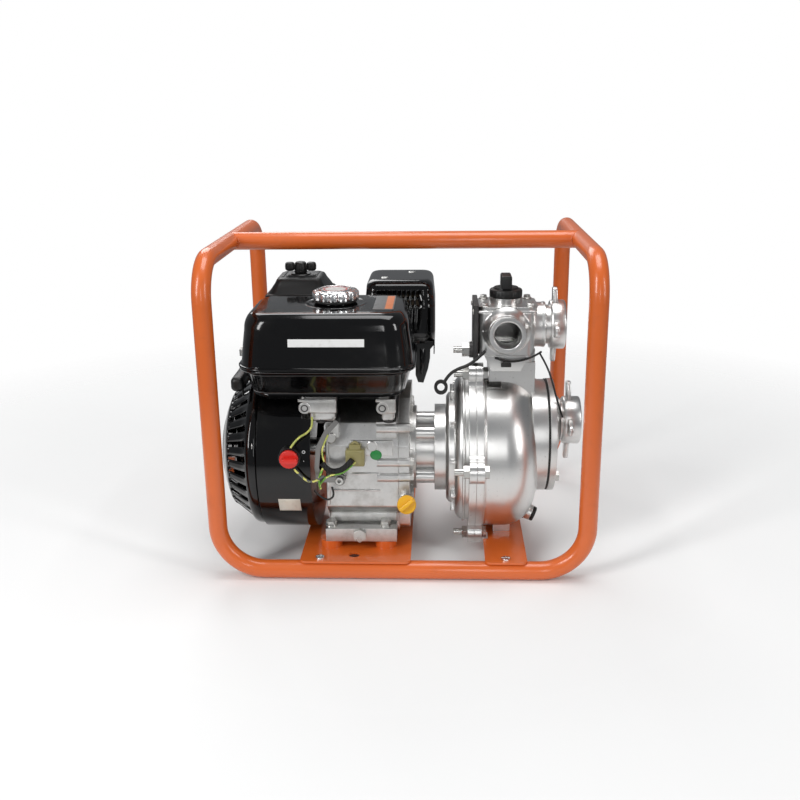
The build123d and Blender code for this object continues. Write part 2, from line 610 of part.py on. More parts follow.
def flange_lugs(x0, x1):
    lugs = rod_x(PUMP_R, x0, x1)
    for angle in BOLT_ANGLES:
        at = polar_point(angle, BOLT_CIRCLE, 0)
        root = polar_point(angle, BOLT_CIRCLE - 24, 0)
        lugs += rod_x(15, x0, x1, at[1], at[2]) + rod_x(24, x0, x1, root[1], root[2])
    for angle in BOLT_ANGLES:
        at = polar_point(angle, BOLT_CIRCLE, 0)
        lugs -= rod_x(5.2, x0 - 1, x1 + 1, at[1], at[2])
    return lugs


def pump_casing():
    back = turned_x([(60.3, 22), (60.3, 74), (64, 79), (72, 79), (72, 104), (91, 104), (91, 22)],
                    [(72, 104, 14)])
    back += flange_lugs(91, JOINT_X - 0.1)
    back -= rod_x(100, 84, JOINT_X)
    parts["pump_back_cover"] = back

    seal = rod_x(21.9, 62, 83.8) - rod_x(SHAFT_R + 0.06, 60, 85)
    parts["shaft_seal"] = seal

    outer = [(111, 0), (111, DOME_R), (173, DOME_R), (193, 48), (193, 0)]
    inner = [(100, 0), (100, 104), (165, 104), (182, 50), (182, 0)]
    dome = turned_x(outer, [(173, DOME_R, 46), (193, 48, 10)]) + flange_lugs(JOINT_X + 0.1, 111)
    dome += rod_x(SUCTION_FLANGE_R, 178, 199.2, z=SUCTION_FLANGE_Z) & turned_x(
        [(170, 0), (170, 104), (190, 98), (199.2, 98), (199.2, 0)])
    dome += box(119, 182, CRANK_Y - 33, CRANK_Y + 33, 230, CHAMBER_Z[0] - 12.3)
    dome += box(107, 126, -104, -60, 236, 250)
    dome -= turned_x(inner, [(165, 104, 38)])
    dome -= rod_x(34, 176, 200, z=SUCTION_Z)
    dome -= box(178, 200, -92, -48, SUCTION_Z, 228)
    dome -= box(124, 174, CRANK_Y - 25, CRANK_Y + 25, 225, 290)
    for y in (-95, -45):
        dome += box(128, 152, y - 9, y + 9, PLATE_TOP, 42)
    for at in suction_bolt_points():
        dome -= rod_x(4.2, 188, 200, at[1], at[2])
    drain = Plane(origin=polar_point(-68, 92, 176.5), z_dir=drain_axis())
    dome += extrude(drain * Circle(11), 6, both=True)
    dome -= extrude(drain * Circle(7.1), 30, both=True)
    parts["volute_casing"] = dome

    ring = turned_x([(104, 78), (104, 94), (140, 94), (140, 29), (136, 29), (136, 78)])
    for i in range(8):
        at = polar_point(45 * i + 20, 86, 0)
        ring -= rod_x(5, 110, 132, at[1], at[2])
    parts["diffuser"] = ring


def suction_bolt_points():
    return [polar_point(angle, 71, 0, z=SUCTION_FLANGE_Z) for angle in (-36, 54, 144, 234)]


def drain_axis():
    """Direction out of the sloping face of the dome at the lower control side."""
    out = 0.40
    radial = (0, -cos(radians(68)), -sin(radians(68)))
    along = sqrt(1 - out * out)
    return (along, out * radial[1], out * radial[2])


def suction_side():
    cover = rod_x(SUCTION_FLANGE_R, 202.4, 211, z=SUCTION_FLANGE_Z)
    low = Plane(origin=(211, CRANK_Y, SUCTION_FLANGE_Z + 10), z_dir=(1, 0, 0))
    high = Plane(origin=(221, CRANK_Y, SUCTION_Z), z_dir=(1, 0, 0))
    cover += loft([low * Circle(54), high * Circle(31)])
    cover += rod_x(NECK_R, 220, 234, z=SUCTION_Z) + rod_x(29.5, 230.4, 234, z=SUCTION_Z)
    cover -= rod_x(23, 200, 240, z=SUCTION_Z)
    cover -= rod_x(32, 200, 208, z=SUCTION_Z)
    holes = suction_bolt_points()
    for at in holes:
        cover -= rod_x(4.2, 200, 213, at[1], at[2])
    parts["suction_cover"] = cover
    seal = rod_x(SUCTION_FLANGE_R - 0.5, 199.3, 202.3, z=SUCTION_FLANGE_Z)
    seal -= rod_x(35, 198, 204, z=SUCTION_Z)
    seal -= box(198, 204, -92, -48, SUCTION_Z, 228)
    for at in holes:
        seal -= rod_x(4.2, 198, 204, at[1], at[2])
    parts["suction_gasket"] = seal

    flap = rod_x(31, 196, 199, z=SUCTION_Z) + box(196, 199, -80, -60, SUCTION_Z, 222)
    flap += rod_y(2.5, -84, -56, 197.5, 222)
    flap += rod_x(20, 190, 196, z=SUCTION_Z)
    parts["check_valve_flap"] = flap

    parts["suction_ring_nut"] = ring_nut(224.5, 249, SUCTION_Z, 230, 58)
    return [hex_bolt((211, at[1], at[2]), (-1, 0, 0), 13, 5.5, 4, 20) for at in holes]


def ring_nut(x0, x1, z, collar_x, reach):
    """Captive coupling nut with four driving lugs."""
    nut = rod_x(34.0, x0, x1, z=z)
    middle = x0 + 0.42 * (x1 - x0)
    for i in range(4):
        lug = Pos(middle, CRANK_Y, z) * Rot(90 * i, 0, 0) * Pos(0, 0, reach - 14) * Box(7, 20, 28)
        nut += lug
    nut -= rod_x(THREAD_R, collar_x + 4.3, x1 + 1, z=z)
    nut -= rod_x(THREAD_R + 0.7, collar_x, collar_x + 4.3, z=z)
    nut -= rod_x(NECK_R + FIT, x0 - 1, collar_x + 1, z=z)
    return nut


def discharge_tower():
    x0, x1 = CHAMBER_X
    z0, z1 = CHAMBER_Z
    tower = fillet(box(x0, x1, -112, -28, z0, z1).edges().filter_by(Axis.Z), 12)
    tower += rounded_box(119, 182, CRANK_Y - 33, CRANK_Y + 33, CHAMBER_Z[0] - 12, z0 + 4, upright=10)
    tower += rod_y(27, -116, -111, OUTLET_X, OUTLET_Z)
    tower += rod_y(FRONT_OUTLET_R, -138, -112, OUTLET_X, OUTLET_Z)
    tower += rod_x(NECK_R, x1 - 2, 212, z=OUTLET_Z) + rod_x(29.5, 208.4, 212, z=OUTLET_Z)
    tower += rod_x(31, x1 - 2, 196, z=OUTLET_Z)
    tower -= box(x0 + 7, x1 - 7, -105, -35, z0 + 4, z1 - 1)
    tower -= box(126, 172, CRANK_Y - 23, CRANK_Y + 23, 270, z0 + 10)
    tower -= rod_y(18.2, -140, -100, OUTLET_X, OUTLET_Z)
    tower -= rod_x(23, x1 - 10, 213, z=OUTLET_Z)
    tower += rounded_box(x0, 184, -106, -34, z1, 357, upright=14) + rod_z(22.5, 357, 365, 142, CRANK_Y)
    tower -= rod_z(17, 345, 366, 142, CRANK_Y)
    parts["discharge_chamber"] = tower
    plate = rounded_box(97, 103.8, -108, -32, 284, 360, upright=2)
    parts["discharge_side_plate"] = plate + rod_x(11, 92, 97.5, SIDE_STUD[0], SIDE_STUD[1])
    parts["discharge_ring_nut"] = ring_nut(202.5, 223, OUTLET_Z, 208, 53)

    cap = rod_z(22.5, 365.3, 379, 142, CRANK_Y)
    cap += box(134.5, 149.5, CRANK_Y - 19, CRANK_Y + 19, 379, 396)
    cap += rod_z(16.9, 350, 366, 142, CRANK_Y)
    parts["priming_cap"] = cap

    seat = Plane(origin=polar_point(-68, 92, 176.5), z_dir=drain_axis())
    plug = extrude(seat.offset(6.3) * Circle(10.5), 5) + extrude(seat.offset(11.3) * Rectangle(26, 9), 13)
    parts["drain_plug"] = plug + extrude(seat.offset(-8) * Circle(7), 15)


def pump_bolts(extra):
    bolts = list(extra)
    for angle in BOLT_ANGLES:
        at = polar_point(angle, BOLT_CIRCLE, 111)
        bolts.append(hex_bolt(at, (-1, 0, 0), 16, 6.5, 5, 40))
        at = polar_point(angle, BOLT_CIRCLE, 91)
        bolts.append(hex_nut(at, (-1, 0, 0), 16, 8, 5))
    y, z = SIDE_STUD
    stud = rod_x(4.5, 70, 91.9, y, z)
    bolts.append(hex_nut((91.9, y, z), (-1, 0, 0), 17, 10, 4.4) + stud)
    parts["pump_bolts"] = Compound(bolts)


def cap_straps():
    eyelet = Pos(53, -127, 252) * Rot(90, 0, 0) * Torus(7.2, 2.2)
    strap = [(57, -127, 258), (63, -126, 269), (76, -124, 277), (90, -122, 281), (104, -118, 291), (113, -117, 300)]
    cord = [(126, -116, 290), (138, -118, 286), (152, -118, 285), (168, -117, 288), (183, -108, 292),
            (190, -96, 293)]
    drop = [(188, -100, 292), (198, -110, 276), (205, -119, 254), (211, -123, 232), (220, -118, 206)]
    tubes = []
    for r, route in ((2.2, strap), (1.5, cord), (1.3, drop)):
        tubes.append(tube_along(route, arc_radii(route), r))
    parts["cap_straps"] = Compound(tubes + [eyelet])


# ---------------------------------------------------------------- build and write
def main():
    carrying_frame()
    mounting_plates()
    crankcase()
    engine_side_cover()
    cylinder_end()
    spark_plug_and_lead()
    blower_housing()
    recoil_cover()
    rotating_group()
    carburettor()
    air_cleaner()
    muffler()
    fuel_tank()
    control_side()
    wiring()
    bolts = pump_adapter()
    pump_casing()
    bolts += suction_side()
    discharge_tower()
    pump_bolts(bolts)
    cap_straps()
    os.makedirs("parts", exist_ok=True)
    for node, shape in parts.items():
        export_step(shape, f"parts/{node}.step")
    print(len(parts), "nodes")


main()
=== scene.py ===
import json
from math import atan2, cos, pi, radians, sin, sqrt

import bmesh
import bpy
from mathutils import Matrix, Vector


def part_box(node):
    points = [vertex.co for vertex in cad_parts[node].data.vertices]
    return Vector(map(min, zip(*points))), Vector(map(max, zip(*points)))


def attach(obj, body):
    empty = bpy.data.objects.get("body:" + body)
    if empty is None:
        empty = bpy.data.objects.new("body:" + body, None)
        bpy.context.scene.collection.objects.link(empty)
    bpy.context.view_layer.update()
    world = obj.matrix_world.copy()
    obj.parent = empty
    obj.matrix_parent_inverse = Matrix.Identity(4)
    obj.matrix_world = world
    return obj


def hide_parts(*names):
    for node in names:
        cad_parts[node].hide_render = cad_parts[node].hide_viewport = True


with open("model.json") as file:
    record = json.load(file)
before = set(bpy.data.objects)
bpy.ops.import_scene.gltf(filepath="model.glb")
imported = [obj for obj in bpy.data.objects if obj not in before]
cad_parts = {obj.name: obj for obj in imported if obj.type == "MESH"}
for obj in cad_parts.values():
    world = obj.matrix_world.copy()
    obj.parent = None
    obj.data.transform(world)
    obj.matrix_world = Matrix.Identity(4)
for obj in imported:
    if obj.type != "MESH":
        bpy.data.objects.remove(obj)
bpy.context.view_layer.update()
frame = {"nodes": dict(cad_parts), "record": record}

bl_info = {
    "name": "Portable fire pump dressing",
    "version": (1, 0, 0),
    "blender": (4, 5, 0),
    "location": "3D View > Sidebar > Pump",
    "description": "Finishes the castings, covers, caps, wiring and stage of a portable fire pump",
    "category": "Object",
}

MM = 0.001
BODY = "pump_unit"
SHAFT = (0, -70, 145)    # a point on the crank and pump axis, in millimetres


# ------------------------------------------------------------------ shader maths
class Wire:
    """A shader socket on which arithmetic adds Math nodes."""

    def __init__(self, finish, socket):
        self.finish = finish
        self.socket = socket

    def maths(self, operation, *others):
        return self.finish.node("ShaderNodeMath", {"operation": operation}, [self, *others])

    def __add__(self, other):
        return self.maths("ADD", other)

    def __sub__(self, other):
        return self.maths("SUBTRACT", other)

    def __mul__(self, other):
        return self.maths("MULTIPLY", other)

    def __rsub__(self, other):
        return self.finish.node("ShaderNodeMath", {"operation": "SUBTRACT"}, [other, self])

    def __gt__(self, other):
        return self.maths("GREATER_THAN", other)

    __radd__ = __add__
    __rmul__ = __mul__


class Finish:
    """A material under construction: its node tree, main shader and pattern space."""

    def __init__(self, name, **shader):
        self.material = bpy.data.materials.new(name)
        self.material.use_nodes = True
        self.tree = self.material.node_tree
        self.shader = self.tree.nodes["Principled BSDF"]
        for label, value in shader.items():
            self.shader.inputs[label.replace("_", " ").title().replace("Ior", "IOR")].default_value = value
        self.place = self.node("ShaderNodeTexCoord", {}, {}, "Object")

    def node(self, kind, settings, sockets, output=0):
        made = self.tree.nodes.new(kind)
        for label, value in settings.items():
            if label == "stops":
                ramp = made.color_ramp
                while len(ramp.elements) < len(value):
                    ramp.elements.new(1.0)
                for element, (at, colour) in zip(ramp.elements, value):
                    element.position = at
                    element.color = colour
            else:
                setattr(made, label, value)
        pairs = sockets.items() if isinstance(sockets, dict) else enumerate(sockets)
        for key, value in pairs:
            if isinstance(value, Wire):
                self.tree.links.new(value.socket, made.inputs[key])
            else:
                made.inputs[key].default_value = value
        return Wire(self, made.outputs[output])

    def feed(self, label, wire):
        self.tree.links.new(wire.socket, self.shader.inputs[label])

    def noise(self, scale, detail=4.0, rough=0.55, stretch=(1, 1, 1)):
        place = self.node("ShaderNodeMapping", {}, {"Vector": self.place, "Scale": stretch})
        return self.node("ShaderNodeTexNoise", {}, {
            "Vector": place, "Scale": scale, "Detail": detail, "Roughness": rough})

    def ramp(self, wire, *stops):
        return self.node("ShaderNodeValToRGB", {"stops": stops}, {"Fac": wire})

    def mask(self, wire, low, high):
        """0 below low, 1 above high, and a straight climb between."""
        return self.node("ShaderNodeMapRange", {}, {"Value": wire, "From Min": low, "From Max": high})

    def blend(self, mask, colour_a, colour_b):
        return self.node("ShaderNodeMix", {"data_type": "RGBA"}, {0: mask, 6: colour_a, 7: colour_b}, 2)

    def rounded(self, width):
        """Normals eased over corners, as paint and tumbling leave them."""
        return self.node("ShaderNodeBevel", {"samples": 4}, {"Radius": width})

    def edges(self, width):
        """1 on worn corners and 0 on flats."""
        true_normal = self.node("ShaderNodeNewGeometry", {}, {}, "Normal")
        level = self.node("ShaderNodeVectorMath", {"operation": "DOT_PRODUCT"},
                          [self.rounded(width), true_normal], "Value")
        return self.mask(1 - level, 0.02, 0.12)

    def bump(self, height, strength, depth, under=None):
        sockets = {"Height": height, "Strength": strength, "Distance": depth}
        if under is not None:
            sockets["Normal"] = under
        return self.node("ShaderNodeBump", {}, sockets)


def spread(wire, low, high):
    """Map a 0 to 1 wire on to low to high."""
    return wire * (high - low) + low


def skin(f, wire, deep, bright, rough, grain, edge=None):
    """Mottled colour, roughness and fine grain: grain is (scale, detail, strength, depth)."""
    scale, detail, strength, depth = grain
    f.feed("Base Color", f.blend(wire, (*deep, 1), (*bright, 1)))
    f.feed("Roughness", spread(wire, *rough))
    f.feed("Normal", f.bump(f.noise(scale, detail), strength, depth, f.rounded(edge) if edge else None))
    return f


FINISHES = {}


def finish(maker):
    """Mix each finish once and hand out the same material after that."""
    def get(*args):
        key = (maker.__name__, *args)
        if key not in FINISHES:
            FINISHES[key] = maker(*args).material
        return FINISHES[key]
    return get


@finish
def orange_enamel():
    """Thick orange enamel over tube, with orange peel, scuffs and rubbed edges."""
    f = Finish("orange_enamel", coat_roughness=0.12)
    paint = bpy.context.scene.pump_paint
    broad = f.noise(9.0, 3.0)
    grime = f.mask(f.noise(23.0, 6.0, 0.7), 0.55, 0.80)
    tone = f.blend(broad, (*paint.frame_low, 1), (*paint.frame_high, 1))
    darkened = f.blend(grime * 0.35, tone, (0.33, 0.075, 0.018, 1))
    f.feed("Base Color", f.blend(f.edges(0.0008) * grime, darkened, (0.20, 0.06, 0.02, 1)))
    f.feed("Roughness", spread(broad, 0.27, 0.42) + grime * 0.15)
    f.feed("Coat Weight", 0.45 - grime * 0.3)
    f.feed("Normal", f.bump(f.noise(380.0, 2.0), 0.14, 0.0005, f.rounded(0.0006)))
    return f


@finish
def gloss_black():
    """Stoved gloss black sheet metal with a little dust."""
    f = Finish("gloss_black", coat_weight=0.3, coat_roughness=0.05, specular_ior_level=0.35)
    dust = f.mask(f.noise(14.0, 5.0, 0.65), 0.5, 0.85)
    worn = f.edges(0.0008) * f.mask(f.noise(60.0, 4.0), 0.5, 0.7)
    base = f.blend(dust, (0.0015, 0.0015, 0.0018, 1), (0.006, 0.0058, 0.005, 1))
    f.feed("Base Color", f.blend(worn * 0.5, base, (0.03, 0.03, 0.03, 1)))
    f.feed("Roughness", spread(dust, 0.10, 0.26))
    f.feed("Normal", f.bump(f.noise(260.0, 2.0), 0.05, 0.0004, f.rounded(0.0008)))
    return f


@finish
def moulded_black():
    """Fine-grained black moulding."""
    f = Finish("moulded_black", specular_ior_level=0.45)
    return skin(f, f.noise(12.0, 4.0), (0.0025, 0.0025, 0.003), (0.008, 0.008, 0.0075), (0.32, 0.50),
                (900.0, 3.0, 0.22, 0.0002), 0.0006)


@finish
def rubber():
    """Matt black rubber."""
    f = Finish("rubber")
    return skin(f, f.noise(30.0, 4.0), (0.006, 0.006, 0.006), (0.020, 0.019, 0.018), (0.50, 0.72),
                (700.0, 2.0, 0.3, 0.0002))


@finish
def foam():
    f = Finish("filter_foam", roughness=0.95)
    cells = f.noise(520.0, 2.0, 0.8)
    f.feed("Base Color", f.blend(cells, (0.02, 0.02, 0.022, 1), (0.10, 0.10, 0.11, 1)))
    f.feed("Normal", f.bump(cells, 0.9, 0.0010))
    return f


@finish
def sand_cast():
    """Engine castings: die-cast skin, and dark patches at random that are partly parting stains and oily
    dirt and partly painted shade meant for the hollows.
    """
    f = Finish("sand_cast", metallic=1.0)
    sand = f.noise(620.0, 5.0, 0.7)
    lumps = f.noise(34.0, 4.0)
    # painted shade: dark noise patches, partly stains and oily dirt and partly shade painted for the
    # hollows, though they fall at random
    stain_and_shade = f.mask(f.noise(15.0, 6.0, 0.72), 0.46, 0.74)
    worn = f.edges(0.0010)
    metal = f.blend(lumps, (0.50, 0.495, 0.485, 1), (0.74, 0.735, 0.72, 1))
    # metal darkened by the stains and the painted shade
    darkened = f.blend(stain_and_shade * 0.7, metal, (0.22, 0.20, 0.17, 1))
    f.feed("Base Color", f.blend(worn, darkened, (0.78, 0.77, 0.75, 1)))
    f.feed("Roughness", spread(sand, 0.20, 0.42) + stain_and_shade * 0.12)
    f.feed("Normal", f.bump(lumps, 0.22, 0.0012, f.bump(sand, 0.40, 0.0004, f.rounded(0.0010))))
    return f


@finish
def bright_cast():
    """Pump castings, fettled to a satin shine."""
    f = Finish("bright_cast", metallic=1.0)
    broad = f.noise(10.0, 4.0)
    fine = f.noise(230.0, 5.0, 0.62)
    pits = f.mask(fine, 0.62, 0.78)
    metal = f.blend(broad, (0.60, 0.595, 0.58, 1), (0.78, 0.775, 0.765, 1))
    f.feed("Base Color", f.blend(pits * 0.7, metal, (0.34, 0.33, 0.31, 1)))
    f.feed("Roughness", spread(broad, 0.20, 0.33) + fine * 0.10)
    f.feed("Normal", f.bump(broad, 0.12, 0.0025, f.bump(fine, 0.12, 0.0003, f.rounded(0.0012))))
    return f


@finish
def machined():
    """Turned faces with fine tool lines."""
    f = Finish("machined", metallic=1.0)
    lines = f.noise(90.0, 3.0, 0.6, (1, 14, 14))
    f.feed("Base Color", f.blend(lines, (0.55, 0.55, 0.54, 1), (0.78, 0.78, 0.77, 1)))
    f.feed("Roughness", spread(lines, 0.20, 0.36))
    f.feed("Normal", f.bump(lines, 0.10, 0.0002, f.rounded(0.0006)))
    return f


@finish
def plated_steel():
    """Zinc-plated fasteners and strips, slightly yellowed."""
    f = Finish("plated_steel", metallic=1.0)
    broad = f.noise(80.0, 4.0)
    bloom = f.mask(f.noise(140.0, 5.0, 0.7), 0.55, 0.75)
    metal = f.blend(broad, (0.42, 0.415, 0.40, 1), (0.66, 0.655, 0.63, 1))
    f.feed("Base Color", f.blend(bloom * 0.6, metal, (0.30, 0.27, 0.22, 1)))
    f.feed("Roughness", spread(broad, 0.20, 0.38) + bloom * 0.12)
    f.feed("Normal", f.bump(f.noise(500.0, 2.0), 0.1, 0.0002, f.rounded(0.0005)))
    return f


@finish
def governor_steel():
    """Bare spring strip, dull and fingered."""
    f = Finish("governor_steel", metallic=1.0)
    return skin(f, f.noise(26.0, 4.0), (0.16, 0.155, 0.15), (0.36, 0.355, 0.34), (0.22, 0.40),
                (400.0, 2.0, 0.1, 0.0002), 0.0005)


@finish
def dark_steel():
    """Blackened iron and forged steel."""
    f = Finish("dark_steel", metallic=0.8)
    return skin(f, f.noise(40.0, 5.0), (0.045, 0.045, 0.047), (0.11, 0.105, 0.10), (0.38, 0.60),
                (400.0, 3.0, 0.2, 0.0003), 0.0006)


@finish
def heat_tinted():
    """Exhaust can coloured by heat."""
    f = Finish("heat_tinted", metallic=1.0)
    broad = f.noise(18.0, 5.0)
    f.feed("Base Color", f.ramp(broad, (0.35, (0.10, 0.075, 0.05, 1)), (0.55, (0.15, 0.12, 0.10, 1)),
                                (0.75, (0.07, 0.065, 0.085, 1))))
    f.feed("Roughness", spread(broad, 0.35, 0.60))
    f.feed("Normal", f.bump(f.noise(300.0, 3.0), 0.15, 0.0003, f.rounded(0.001)))
    return f


@finish
def chromed():
    f = Finish("chromed", metallic=1.0)
    haze = f.noise(25.0, 4.0)
    f.feed("Base Color", f.blend(haze, (0.74, 0.74, 0.75, 1), (0.88, 0.88, 0.88, 1)))
    f.feed("Roughness", spread(haze, 0.16, 0.26))
    f.feed("Normal", f.rounded(0.0006))
    return f


@finish
def glossy_plastic(name, red, green, blue):
    """Coloured moulding with a slightly mottled skin."""
    f = Finish("plastic_" + name, coat_weight=0.2, coat_roughness=0.1)
    return skin(f, f.noise(60.0, 4.0), (red * 0.74, green * 0.70, blue * 0.66), (red, green, blue),
                (0.26, 0.44), (800.0, 2.0, 0.12, 0.0002), 0.0007)


@finish
def corrugated_sleeve():
    """Black split loom, ribbed along its run."""
    f = Finish("corrugated_sleeve", specular_ior_level=0.4)
    ribs = f.node("ShaderNodeTexWave", {"wave_profile": "SIN"}, {"Vector": f.place, "Scale": 150.0})
    f.feed("Base Color", f.blend(ribs, (0.004, 0.004, 0.004, 1), (0.018, 0.018, 0.018, 1)))
    f.feed("Roughness", spread(ribs, 0.60, 0.38))
    f.feed("Normal", f.bump(ribs, 0.8, 0.0010))
    return f


@finish
def striped_wire(name, red, green, blue):
    """Insulated wire with a tracer stripe that wanders round it."""
    f = Finish("wire_" + name, coat_weight=0.1)
    stripe = f.mask(f.noise(160.0, 1.0), 0.50, 0.54)
    f.feed("Base Color", f.blend(stripe, (red, green, blue, 1), (0.70, 0.68, 0.18, 1)))
    f.feed("Roughness", spread(f.noise(90.0), 0.30, 0.46))
    f.feed("Normal", f.bump(f.noise(600.0, 2.0), 0.15, 0.0002))
    return f


@finish
def blank_label(name, red, green, blue):
    """Printed film with nothing on it, scuffed at random."""
    f = Finish("label_" + name, coat_weight=0.3, coat_roughness=0.2)
    scuff = f.mask(f.noise(70.0, 6.0, 0.7), 0.54, 0.80)
    dark = (red * 0.62, green * 0.60, blue * 0.58, 1)
    f.feed("Base Color", f.blend(scuff * 0.7, (red, green, blue, 1), dark))
    f.feed("Roughness", spread(scuff, 0.30, 0.55))
    f.feed("Normal", f.bump(scuff, 0.08, 0.0002))
    return f


def red_plastic():
    return glossy_plastic("red", 0.74, 0.022, 0.014)


def yellow_plastic():
    return glossy_plastic("yellow", 0.88, 0.47, 0.010)


def white_ceramic():
    return glossy_plastic("ceramic", 0.80, 0.80, 0.77)


def olive_lacquer():
    return glossy_plastic("olive", 0.30, 0.27, 0.11)


FINISH_OF_SLOT = {
    "frame_paint": orange_enamel,
    "engine_alu": sand_cast,
    "pump_alu": bright_cast,
    "black_paint": gloss_black,
    "black_plastic": moulded_black,
    "steel": plated_steel,
    "chrome": chromed,
    "red_plastic": red_plastic,
    "yellow_plastic": yellow_plastic,
    "rubber": rubber,
    "foam": foam,
    "brass": olive_lacquer,
    "wire": rubber,
    "cast_iron": dark_steel,
    "ceramic": white_ceramic,
}


# ------------------------------------------------------------------ shaping, in millimetres
def span(*nodes):
    """((x low, x high), (y low, y high), (z low, z high)) of CAD nodes, in millimetres."""
    corners = [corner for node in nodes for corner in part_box(node)]
    return [(min(c[i] for c in corners) / MM, max(c[i] for c in corners) / MM) for i in range(3)]


def middle(pair):
    return (pair[0] + pair[1]) / 2


def sharp_edges(bm, angle=30.0):
    return [e for e in bm.edges if e.is_manifold and e.calc_face_angle(0) > radians(angle)]


def soften(bm, width, steps=2, angle=30.0):
    """Round every corner sharper than angle."""
    round_corners(bm, sharp_edges(bm, angle), width, steps)
    return bm


def put(bm, at=(0, 0, 0), axis=(0, 0, 1), twist=0.0):
    """Stand a shape made about the origin's Z axis at a point, along an axis."""
    turn = Vector(axis).to_track_quat("Z", "Y").to_matrix().to_4x4() @ Matrix.Rotation(twist, 4, "Z")
    bmesh.ops.transform(bm, matrix=Matrix.Translation(at) @ turn, verts=bm.verts)
    return bm


def shift(bm, by):
    bmesh.ops.translate(bm, vec=by, verts=bm.verts)
    return bm


def roll(bm, angle):
    """Turn a shape about the X axis."""
    bmesh.ops.rotate(bm, cent=(0, 0, 0), matrix=Matrix.Rotation(angle, 3, "X"), verts=bm.verts)
    return bm


def reshape(bm, rule):
    """Move every point by a rule, then set the faces outward again."""
    for vert in bm.verts:
        vert.co = rule(vert.co)
    bmesh.ops.recalc_face_normals(bm, faces=bm.faces)
    return bm


def block(x, y, z, edge=0.0, steps=3):
    """Box between x, y and z pairs, with rounded edges."""
    bm = bmesh.new()
    bmesh.ops.create_cube(bm, size=1)
    bmesh.ops.scale(bm, vec=(x[1] - x[0], y[1] - y[0], z[1] - z[0]), verts=bm.verts)
    shift(bm, (middle(x), middle(y), middle(z)))
    return soften(bm, edge, steps) if edge else bm


def turned(profile, at=(0, 0, 0), axis=(0, 0, 1), steps=64):
    """Turn (radius, height) points about an axis."""
    bm = bmesh.new()
    verts = [bm.verts.new((r, 0, h)) for r, h in profile]
    edges = [bm.edges.new(pair) for pair in zip(verts, verts[1:])]
    bmesh.ops.spin(bm, geom=verts + edges, cent=(0, 0, 0), axis=(0, 0, 1), angle=2 * pi,
                   steps=steps, use_merge=True)
    bmesh.ops.remove_doubles(bm, verts=bm.verts, dist=0.001)
    bmesh.ops.recalc_face_normals(bm, faces=bm.faces)
    return put(bm, at, axis)


def round_corners(bm, geom, width, steps, affect="EDGES"):
    bmesh.ops.bevel(bm, geom=geom, offset=width, segments=steps, profile=0.5, affect=affect, material=-1,
                    clamp_overlap=True)


def arc(centre, radius, start, end, steps=6):
    """(radius, height) points of a quarter or other arc for a turned profile, angles in degrees."""
    turns = [radians(start + (end - start) * i / steps) for i in range(steps + 1)]
    return [(centre[0] + radius * cos(t), centre[1] + radius * sin(t)) for t in turns]


def plate(outline, thickness, edge=0.0, at=(0, 0, 0), axis=(0, 0, 1), twist=0.0):
    """Flat outline of (x, y) points given a thickness."""
    bm = bmesh.new()
    face = bm.faces.new([bm.verts.new((x, y, 0)) for x, y in outline])
    made = bmesh.ops.extrude_face_region(bm, geom=[face])["geom"]
    lifted = [v for v in made if isinstance(v, bmesh.types.BMVert)]
    bmesh.ops.translate(bm, vec=(0, 0, thickness), verts=lifted)
    bmesh.ops.recalc_face_normals(bm, faces=bm.faces)
    if edge:
        soften(bm, edge)
    return put(bm, at, axis, twist)


def fit_face(bm, face, x, y, z):
    """Stretch a level face over an x pair and a y pair, at height z."""
    verts = list(face.verts)
    low = [min(v.co[i] for v in verts) for i in range(2)]
    high = [max(v.co[i] for v in verts) for i in range(2)]
    bmesh.ops.translate(bm, vec=(-(low[0] + high[0]) / 2, -(low[1] + high[1]) / 2, -verts[0].co.z),
                        verts=verts)
    bmesh.ops.scale(bm, vec=((x[1] - x[0]) / (high[0] - low[0]), (y[1] - y[0]) / (high[1] - low[1]), 1),
                    verts=verts)
    bmesh.ops.translate(bm, vec=(middle(x), middle(y), z), verts=verts)


def pressed(levels, corner, steps=8):
    """Rounded rectangle drawn up through (x pair, y pair, z) levels, as a pressing is."""
    bm = bmesh.new()
    bmesh.ops.create_grid(bm, x_segments=1, y_segments=1, size=0.5)
    (x0, x1), (y0, y1), z = levels[0]
    bmesh.ops.scale(bm, vec=(x1 - x0, y1 - y0, 1), verts=bm.verts)
    round_corners(bm, list(bm.verts), corner, steps, "VERTICES")
    face = max(bm.faces, key=lambda f: len(f.verts))
    fit_face(bm, face, *levels[0])
    for level in levels[1:]:
        made = bmesh.ops.extrude_face_region(bm, geom=[face])["geom"]
        face = [f for f in made if isinstance(f, bmesh.types.BMFace)][0]
        fit_face(bm, face, *level)
    bmesh.ops.recalc_face_normals(bm, faces=bm.faces)
    return bm


def insets(x, y, *steps):
    """Levels of pressed(), from (inset, z) steps drawn in all round."""
    return [((x[0] + inset, x[1] - inset), (y[0] + inset, y[1] - inset), z) for inset, z in steps]


def shoulder(x, y, inset, depth, z, rise, steps=6):
    """Levels that round a pressing over from its side to its top."""
    turns = [radians(90 * i / steps) for i in range(1, steps + 1)]
    return insets(x, y, *[(inset + depth * (1 - cos(t)), z + rise * sin(t)) for t in turns])


def hexagon_head(at, axis, across=13.0, height=6.0, washer=0.0, twist=0.0):
    """Chamfered hexagon head standing on at, with a washer face under it."""
    bm = bmesh.new()
    bmesh.ops.create_cone(bm, cap_ends=True, segments=6, radius1=across / sqrt(3), radius2=across / sqrt(3),
                          depth=height)
    bmesh.ops.translate(bm, vec=(0, 0, height / 2), verts=bm.verts)
    top = max(bm.faces, key=lambda f: f.calc_center_median().z)
    round_corners(bm, list(top.edges), 0.7, 2)
    if washer:
        join(bm, turned([(0, -0.2), (washer - 0.3, -0.2), (washer, 0.2), (washer, 1.0), (washer - 0.5, 1.4),
                         (0, 1.4)], steps=28))
    return put(bm, at, axis, twist)


